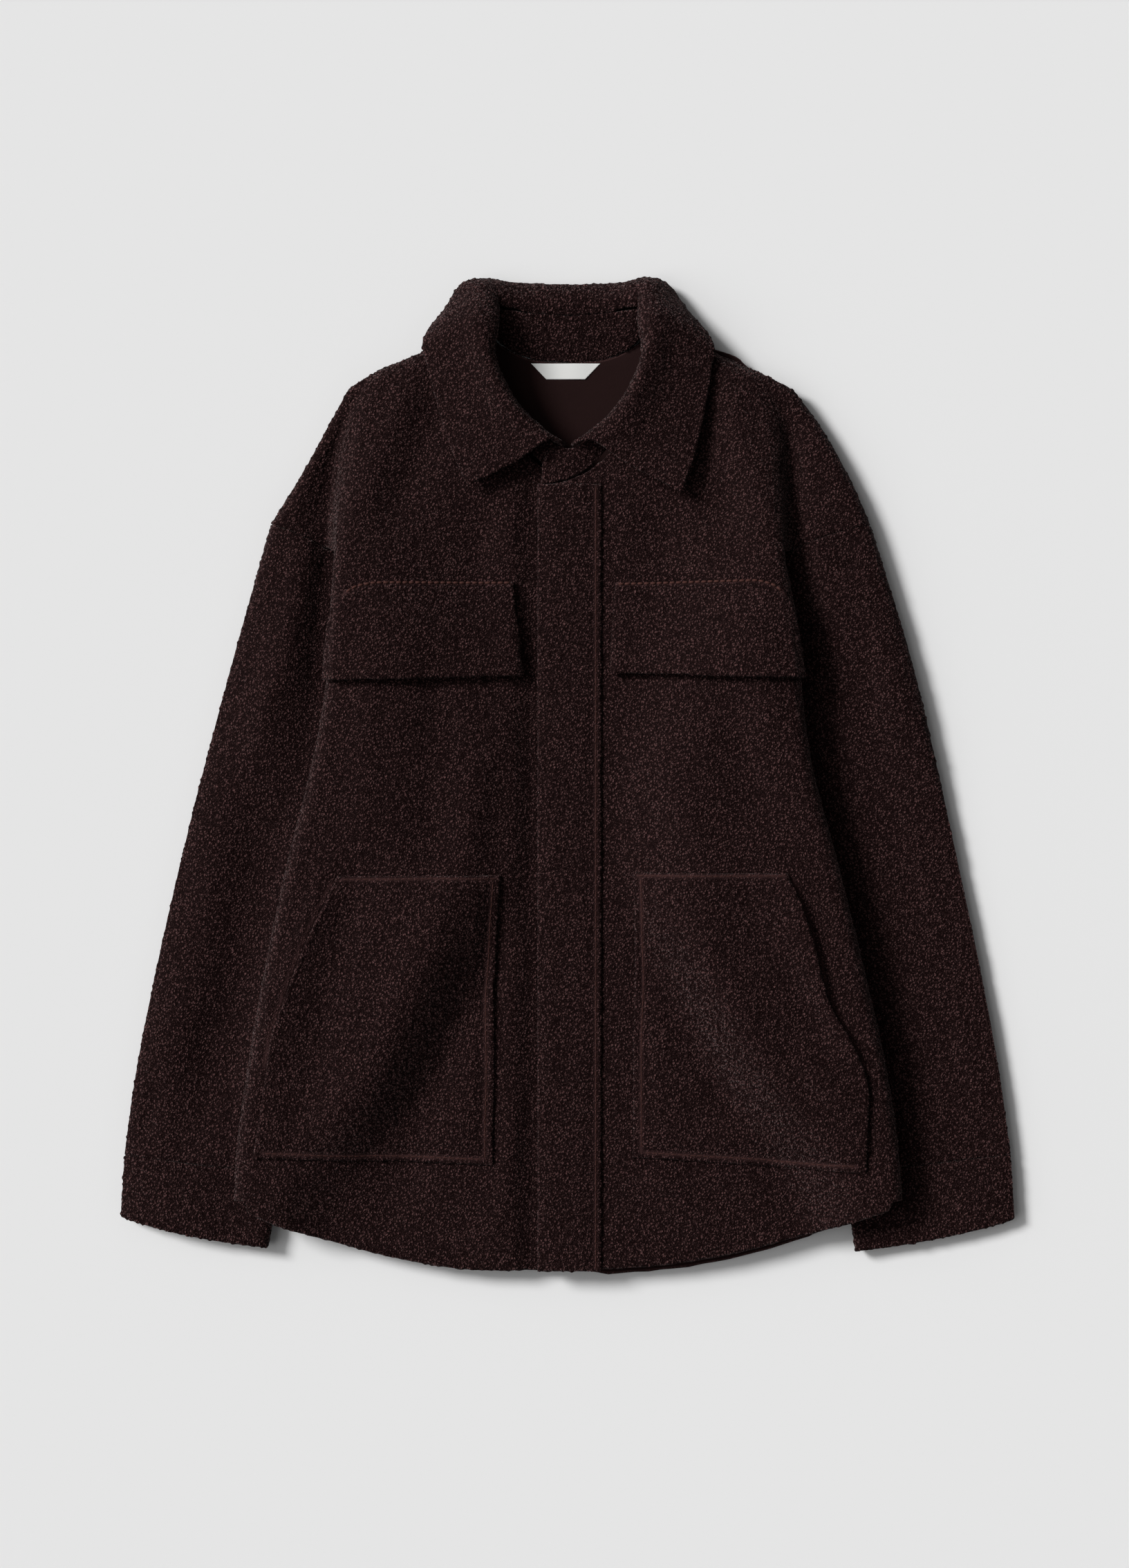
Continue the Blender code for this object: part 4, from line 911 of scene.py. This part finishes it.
def sew(name, side, paths, thread=THREAD):
    """Stitches along paths on a face, each a short bar of thread with rounded ends."""
    vertices, faces = [], []
    for path in paths:
        path = np.asarray(path, float)
        reach = np.r_[0, np.cumsum(np.linalg.norm(np.diff(path, axis=0), axis=1))]
        for start in np.arange(0.5, reach[-1] - STITCH, STITCH_PITCH):
            stations = start + STITCH * np.array(STITCH_PLACES)
            middle = np.stack([np.interp(stations, reach, c) for c in path.T], axis=-1)
            middle[:, 2] -= THREAD_SUNK + thread * np.array(STITCH_SINK)
            first = len(vertices)
            vertices += stitch_rings(middle, thread)
            for ring in range(4):
                for k in range(6):
                    a, b = first + ring * 6 + k, first + ring * 6 + (k + 1) % 6
                    faces.append([a, a + 6, b + 6, b])
            faces += [[first + k for k in range(6)], [first + 24 + k for k in reversed(range(6))]]
    vertices = np.array(vertices)
    if side == "right":
        vertices[:, 0] *= -1
        faces = [face[::-1] for face in faces]
    mesh = bpy.data.meshes.new(name)
    mesh.from_pydata(((vertices - MIDDLE) * MM).tolist(), [], faces)
    mesh.shade_smooth()
    mesh.materials.append(BROWN_THREAD)
    stitches = bpy.data.objects.new(name, mesh)
    bpy.context.scene.collection.objects.link(stitches)
    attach(stitches, "root")
    return name


def placket_face(x, y):
    """The placket swells a little between its edge and its sewing, which holds its other edge down."""
    swell = PLACKET_PUFF * smooth((x - PLACKET_FREE) / 9) * smooth((PLACKET_STITCH_X - x) / 13)
    swell = swell - PLACKET_HELD * smooth((x - PLACKET_STITCH_X + 2) / 6)
    return front_top("left", x, y) + 2 * LAID_ON + FLAP_CLOTH + swell


placket = Cloth()
placket_x, placket_y = np.meshgrid(
    steps(PLACKET_FREE, PLACKET_SEAM, 5.0), steps(PLACKET_TOP, HEM["left"].at("y", 0.0), 6.0))
placket.grid(np.dstack([placket_x, placket_y, placket_face(placket_x, placket_y)]))
placket_line = np.array([(PLACKET_STITCH_X, y) for y in np.linspace(226, -384, 120)])
placket = placket.wall("placket_cloth", "left", thick=FLAP_CLOTH, pressed=[placket_line])
place_piece(grow_pile(placket), "placket")
placket_sewing = sew("placket_stitches", "left", [np.c_[placket_line, placket_face(*placket_line.T)]])

# CHEST FLAPS
# A flap of doubled fleece on each side of the chest, sewn down along its top edge only. Its lower edge
# stands a little off the front and throws a shadow.

CHEST_FLAP = {
    "right": Table(
        "row inner_x inner_y outer_x outer_y lift",
        (0, 44, 152, 150, 151, 0.0), (1, 43, 146, 170, 146, 1.0), (2, 42, 131, 181, 133, 2.6),
        (3, 39, 105, 186, 104, 4.2), (4, 37, 79, 187, 75, 5.8)),
    "left": Table(
        "row inner_x inner_y outer_x outer_y lift",
        (0, 37, 151, 146, 153, 0.0), (1, 36, 145, 164, 147, 1.0), (2, 35, 131, 172, 132, 2.6),
        (3, 33, 105, 177, 104, 4.2), (4, 32, 81, 180, 77, 5.8)),
}
FLAP_THREAD = 1.05
FLAP_ENDS = 7.0  # how far in from its ends a flap still bends down


def laid_points(side, table, row, across, out):
    """Points made from the front's own, moved out along its normals.

    row runs down the piece, and across from its inner (0) to its outer edge (1).
    """
    row, across = np.broadcast_arrays(row, across)
    x = mix(table.at("inner_x", row), table.at("outer_x", row), across)
    y = mix(table.at("inner_y", row), table.at("outer_y", row), across)
    step = 4.0
    slope_x = (side_roll(side, x + step, y) - side_roll(side, x - step, y)) / (2 * step)
    slope_y = (side_roll(side, x, y + step) - side_roll(side, x, y - step)) / (2 * step)
    normal = np.stack([-slope_x, -slope_y, np.ones_like(x)], axis=-1)
    normal /= np.linalg.norm(normal, axis=-1)[..., None]
    face = np.stack([x, y, side_roll(side, x, y)], axis=-1)
    return face + normal * (LAID_ON + FLAP_CLOTH + out(table, row, across))[..., None]


def laid_grid(table, size):
    """Rows and places across for a piece, at about the given size of face."""
    depth, width = np.ptp(table["inner_y"]), np.max(table["outer_x"]) - np.min(table["inner_x"])
    row = np.linspace(0, table["row"][-1], int(depth / size) + 1)
    return row[:, None], np.linspace(0, 1, int(width / size) + 1)[None, :]


def flap_lift(table, row, across):
    width = table.at("outer_x", row) - table.at("inner_x", row)
    ends = 1 - 0.3 * smooth(1 - np.minimum(across, 1 - across) * width / FLAP_ENDS)
    return table.at("lift", row) * ends


for side in ("right", "left"):
    table = CHEST_FLAP[side]
    flap = Cloth()
    flap.grid(laid_points(side, table, *laid_grid(table, 5.6), flap_lift))
    top = laid_points(side, table, 0.16, np.linspace(0.015, 0.965, 60), flap_lift)
    corner = laid_points(side, table, np.linspace(0.22, 1.5, 14), 0.98, flap_lift)
    line = np.vstack([top, corner])
    flap = flap.wall(f"chest_flap_{side}_cloth", side, thick=FLAP_CLOTH, pressed=[line[:, :2]])
    place_piece(grow_pile(flap), f"chest_flap_{side}")
    sewing = sew(f"chest_flap_{side}_stitches", side, [line], FLAP_THREAD)

# HIP POCKETS
# A large patch pocket on each side, sewn along its top, its inner edge and its foot. The slanted outer
# edge is left open for the hand, and stands off a little.

HIP_POCKET = {
    "right": Table(
        "row inner_x inner_y outer_x outer_y lift",
        (0, 53, -77, 179, -77, 0.0), (1, 56, -114, 198, -114, 0.6), (2, 57, -147, 212, -147, 1.0),
        (3, 58, -176, 222, -176, 1.0), (4, 58, -204, 230, -202, 0.4), (5, 58, -240, 235, -236, 0.0),
        (6, 59, -272, 240, -268, 0.0), (7, 59, -303, 245, -296, 0.0)),
    "left": Table(
        "row inner_x inner_y outer_x outer_y lift",
        (0, 51, -75, 170, -75, 0.0), (1, 52, -104, 182, -104, 0.6), (2, 52, -133, 191, -133, 1.0),
        (3, 52, -171, 201, -171, 1.0), (4, 51, -205, 220, -208, 0.4), (5, 51, -238, 232, -238, 0.0),
        (6, 51, -268, 232, -272, 0.0), (7, 51, -297, 231, -308, 0.0)),
}

POCKET_PUFF = 1.8
POCKET_MOUTH = 2.2  # how far the open edge stands off, over and above
POCKET_SEWN = 6.0  # the sewing's distance from the inner edge
BESIDE_MOUTH = 1.6  # how far out from the open edge the front's pile is flattened and painted darker, a painted shadow of the gap under the edge


def pocket_lift(table, row, across):
    width = table.at("outer_x", row) - table.at("inner_x", row)
    top = table["inner_y"][0] - table.at("inner_y", row)
    foot = table.at("inner_y", row) - table["inner_y"][-1]
    swell = smooth((across * width - POCKET_SEWN) / 14) * smooth(top / 14) * smooth((foot - 3) / 14)
    mouth = smooth(1 - (1 - across) * width / 26) * smooth(row / 0.7) * smooth((4.9 - row) / 0.9)
    return table.at("lift", row) + POCKET_PUFF * swell + POCKET_MOUTH * mouth


for side in ("right", "left"):
    table = HIP_POCKET[side]
    pocket = Cloth()
    pocket.grid(laid_points(side, table, *laid_grid(table, 5.8), pocket_lift))
    down = np.linspace(0.16, 6.84, 90)
    share = POCKET_SEWN / (table.at("outer_x", down) - table.at("inner_x", down))
    lines = [
        laid_points(side, table, 0.07, np.linspace(0.03, 0.97, 60), pocket_lift),
        laid_points(side, table, down, share, pocket_lift),
        laid_points(side, table, 6.86, np.linspace(0.05, 0.96, 70), pocket_lift)]
    pocket = pocket.wall(
        f"hip_pocket_{side}_cloth", side, thick=FLAP_CLOTH, pressed=[line[:, :2] for line in lines])
    # A painted shadow along the open edge: the front's pile beside it is held down, lower and painted with
    # the pressed shade
    mouth = np.linspace(0.15, 4.7, 30)
    mouth = np.c_[table.at("outer_x", mouth) + BESIDE_MOUTH, table.at("outer_y", mouth)]
    press_pile(bpy.data.objects[f"front_{side}_cloth"].data, side, mouth)
    place_piece(grow_pile(pocket), f"hip_pocket_{side}")
    sewing = sew(f"hip_pocket_{side}_stitches", side, lines)

# COLLAR STAND
# The band round the neck, of doubled fleece with pile on both sides. Its left end laps over the right
# one at the front, and its inner side shows across the back of the neck.

STAND = Table(
    "t clear neck_z seam_x seam_y seam_z",
    (-1.00, 0.8, 2, 0, 361, 11), (-0.62, 0.9, 2.5, 30, 363, 12), (-0.30, 1.2, 6, 49, 365, 15),
    (0.00, 3.6, 10, 59, 361, 19), (0.10, 4.6, 15, 58, 348, 24), (0.24, 5.0, 18, 59, 328, 26),
    (0.38, 4.5, 20, 52, 307, 27), (0.52, 3.2, 21, 39, 285, 28), (0.65, 4.2, 22, 22, 268, 28),
    (0.78, 2.4, 23, 4, 256, 28), (0.89, 1.8, 23.5, -10, 257, 27), (1.00, 1.4, 23.5, -20, 247, 25))
LEFT_END_RISE = 4.8
COLLAR_CLOTH = 2.6


def stand_point(side, t, w):
    """The stand from the neck edge (w = 0) to its seam with the fall (w = 1).

    t is -1 at the centre back, 0 at the shoulder and 1 in front.
    """
    edge = along(NECK_BACK, -t) if t < 0 else along(NECK_FRONT, t)
    seam = np.array([STAND.at("seam_" + c, t) for c in "xyz"])
    into_neck = seam[:2] - edge
    edge = edge + into_neck / np.linalg.norm(into_neck) * STAND.at("clear", t)
    point = mix(np.r_[edge, STAND.at("neck_z", t)], seam, w)
    if side == "right":
        point[2] -= LEFT_END_RISE * smooth((t - 0.6) / 0.25)
    point[0] *= SIGN[side]
    return point


def round_neck(last, size):
    """Stations from the front on the right, round the back of the neck, to the front on the left."""
    back_part, front_part = steps(-1, 0, size * 0.011), steps(0, last, size * 0.006)
    half = np.r_[back_part, front_part[1:]]
    return [("right", t) for t in half[::-1]] + [("left", t) for t in half[1:]]


stand = Cloth()
stand.grid(np.array([
    [stand_point(side, t, w) for w in np.linspace(0, 1, 7)] for side, t in round_neck(1, 6)]))
stand = stand.wall("collar_stand_cloth", None, root=-COLLAR_CLOTH / 2, thick=COLLAR_CLOTH, both_sides=True)
place_piece(grow_pile(stand), "collar_stand")

# COLLAR
# The fall of the shirt collar, of doubled fleece. It stands up behind the neck, rolls over at the crest
# and lies on the fronts in two pointed leaves.

FALL_END = 0.78
FALL = {
    "right": Table(
        "t crest_x crest_y crest_z turn_x turn_y turn_z edge_x edge_y edge_z",
        (-1, 0, 380, 11.0, 0, 384.5, 6.7, 0, 351, 2.5), (-.62, 38, 381, 11.5, 40, 386, 6.7, 36, 354, 2.6),
        (-.3, 58, 385, 16, 71, 389, 8, 67, 366, 3), (0, 66, 376, 27, 89, 373, 16, 101, 359, 9),
        (.1, 66, 359, 36, 87, 356, 30, 113, 342, 22), (.24, 64, 335, 39, 81, 331, 33, 109, 318, 27),
        (.38, 56, 311, 40, 73, 305, 34, 102, 291, 29), (.52, 43, 289, 40, 62, 280, 35, 94, 264, 31),
        (.65, 27, 273, 38, 52, 259, 35, 86, 243, 35.5), (.78, 10, 262, 36.5, 41, 245, 36, 78, 226, 38)),
    "left": Table(
        "t crest_x crest_y crest_z turn_x turn_y turn_z edge_x edge_y edge_z",
        (-1, 0, 380, 11.0, 0, 384.5, 6.7, 0, 351, 2.5), (-.62, 38, 381, 11.5, 40, 386, 6.7, 36, 354, 2.6),
        (-.3, 56, 386, 16, 66, 390, 8, 64, 366, 3), (0, 62, 376, 27, 84, 373, 16, 98, 358, 9),
        (.1, 63, 359, 36, 86, 356, 30, 112, 340, 22), (.24, 62, 335, 39, 81, 330, 33, 111, 317, 27),
        (.38, 54, 311, 40, 74, 303, 34, 107, 290, 29.5), (.52, 42, 289, 40, 66, 278, 35, 101, 262, 31.5),
        (.65, 27, 273, 38, 56, 257, 35.5, 95, 240, 35.5), (.78, 11, 262, 37.5, 45, 244, 37, 88, 221, 38)),
}


def fall_profile(side, t, w):
    """Points from the seam with the stand, over the crest of the roll, to the outer edge."""
    below, seam = stand_point(side, t, 0.8), stand_point(side, t, 1.0)
    below[0] *= SIGN[side]
    seam[0] *= SIGN[side]
    rise = (seam - below) / np.linalg.norm(seam - below)
    gap = 2 * SEAM + 2.0 * smooth((t + 0.65) / 0.3) + 0.4 * smooth((t - 0.5) / 0.25)
    upward = smooth((t - 0.05) / 0.2)
    knots = [seam + rise * gap, seam + rise * mix(7.0, 3.0, upward) + np.array([0, 0, 4.5 * upward])]
    knots += [np.array([FALL[side].at(f"{k}_{c}", t) for c in "xyz"]) for k in ("crest", "turn", "edge")]
    points = along(knots, w)
    points[:, 0] *= SIGN[side]
    return points


collar = Cloth()
collar.grid(np.array([fall_profile(side, t, np.linspace(0, 1, 15)) for side, t in round_neck(FALL_END, 6)]))
collar = collar.wall("collar_cloth", None, root=-COLLAR_CLOTH / 2, thick=COLLAR_CLOTH, both_sides=True)
place_piece(grow_pile(collar), "collar")

# NECK LABEL
# A small off-white satin label with slanted ends, sewn flat inside the back neck. It is bare.

LABEL_ROWS = ((324.5, 27.2), (318.3, 21.3), (312.0, 15.2))
LABEL_MIDDLE = -2.0
LABEL_WALL = 0.8
SATIN, _ = cloth_material("label_satin", (0.62, 0.62, 0.60), (0.80, 0.80, 0.78), 2500.0, 0.5, 0.12)
SATIN.node_tree.nodes["Principled BSDF"].inputs["Roughness"].default_value = 0.45

label = Cloth()
label_rows = Table("row y half", *[(i, y, half) for i, (y, half) in enumerate(LABEL_ROWS)])
row = np.linspace(0, 2, 7)[:, None]
share = np.linspace(-1, 1, 23)[None, :]
label_x, label_y = share * label_rows.at("half", row), label_rows.at("y", row) + 0 * share
label.grid(np.dstack([LABEL_MIDDLE + label_x, label_y, 4.9 + 0.35 * np.sin(label_x / 5.5) + 0 * row]))
label = label.wall("neck_label_satin", None, root=0.0, thick=LABEL_WALL, cuts=1)
label.data.materials[0] = SATIN
label.data.materials[1] = SATIN
place_piece(label, "neck_label")

# FLOOR, LIGHT AND CAMERA
# A plain pale floor under soft studio light from the upper left. The camera looks straight down.

HALF_FLOOR = 3.0
floor = bpy.data.meshes.new("floor")
floor.from_pydata([(-HALF_FLOOR, -HALF_FLOOR, 0), (HALF_FLOOR, -HALF_FLOOR, 0),
                   (HALF_FLOOR, HALF_FLOOR, 0), (-HALF_FLOOR, HALF_FLOOR, 0)], [], [(0, 1, 2, 3)])
paper = bpy.data.materials.new("pale_floor")
paper.use_nodes = True
paper.node_tree.nodes["Principled BSDF"].inputs["Base Color"].default_value = (0.8, 0.8, 0.8, 1)
paper.node_tree.nodes["Principled BSDF"].inputs["Roughness"].default_value = 1.0
paper.node_tree.nodes["Principled BSDF"].inputs["Specular IOR Level"].default_value = 0.0
floor.materials.append(paper)
floor = bpy.data.objects.new("floor", floor)
bpy.context.scene.collection.objects.link(floor)
floor.location.z = -0.0015


def add_sun(name, strength, spread, towards):
    """A distant light: its strength on the floor, its width in degrees, and the way to it."""
    light = bpy.data.lights.new(name, "SUN")
    light.energy = strength * np.pi / (towards[2] / np.linalg.norm(towards))
    light.angle = np.radians(spread)
    light = bpy.data.objects.new(name, light)
    light.rotation_euler = mathutils.Vector(towards).to_track_quat("Z", "Y").to_euler()
    bpy.context.scene.collection.objects.link(light)


add_sun("key", 0.61, 17, (-0.86, 0.46, 0.74))
add_sun("fill", 0.24, 70, (-0.78, 0.12, 0.66))

world = bpy.data.worlds.new("studio")
world.use_nodes = True
world.node_tree.nodes["Background"].inputs["Color"].default_value = (1, 1, 1, 1)
world.node_tree.nodes["Background"].inputs["Strength"].default_value = 0.13
bpy.context.scene.world = world

FRAME_HEIGHT = 1.225  # metres of the height FRAMED_AT that the image shows from top to bottom
FRAMED_AT = 0.02
CAMERA_OVER = (-0.0025, -0.0074)
CAMERA_ABOVE = 3.0
camera = bpy.data.cameras.new("camera")
camera.sensor_width = 36.0
camera.lens = camera.sensor_width * (CAMERA_ABOVE - FRAMED_AT) / FRAME_HEIGHT
camera = bpy.data.objects.new("camera", camera)
camera.location = (*CAMERA_OVER, CAMERA_ABOVE)
bpy.context.scene.collection.objects.link(camera)
bpy.context.scene.camera = camera
bpy.context.scene.view_settings.view_transform = "Standard"
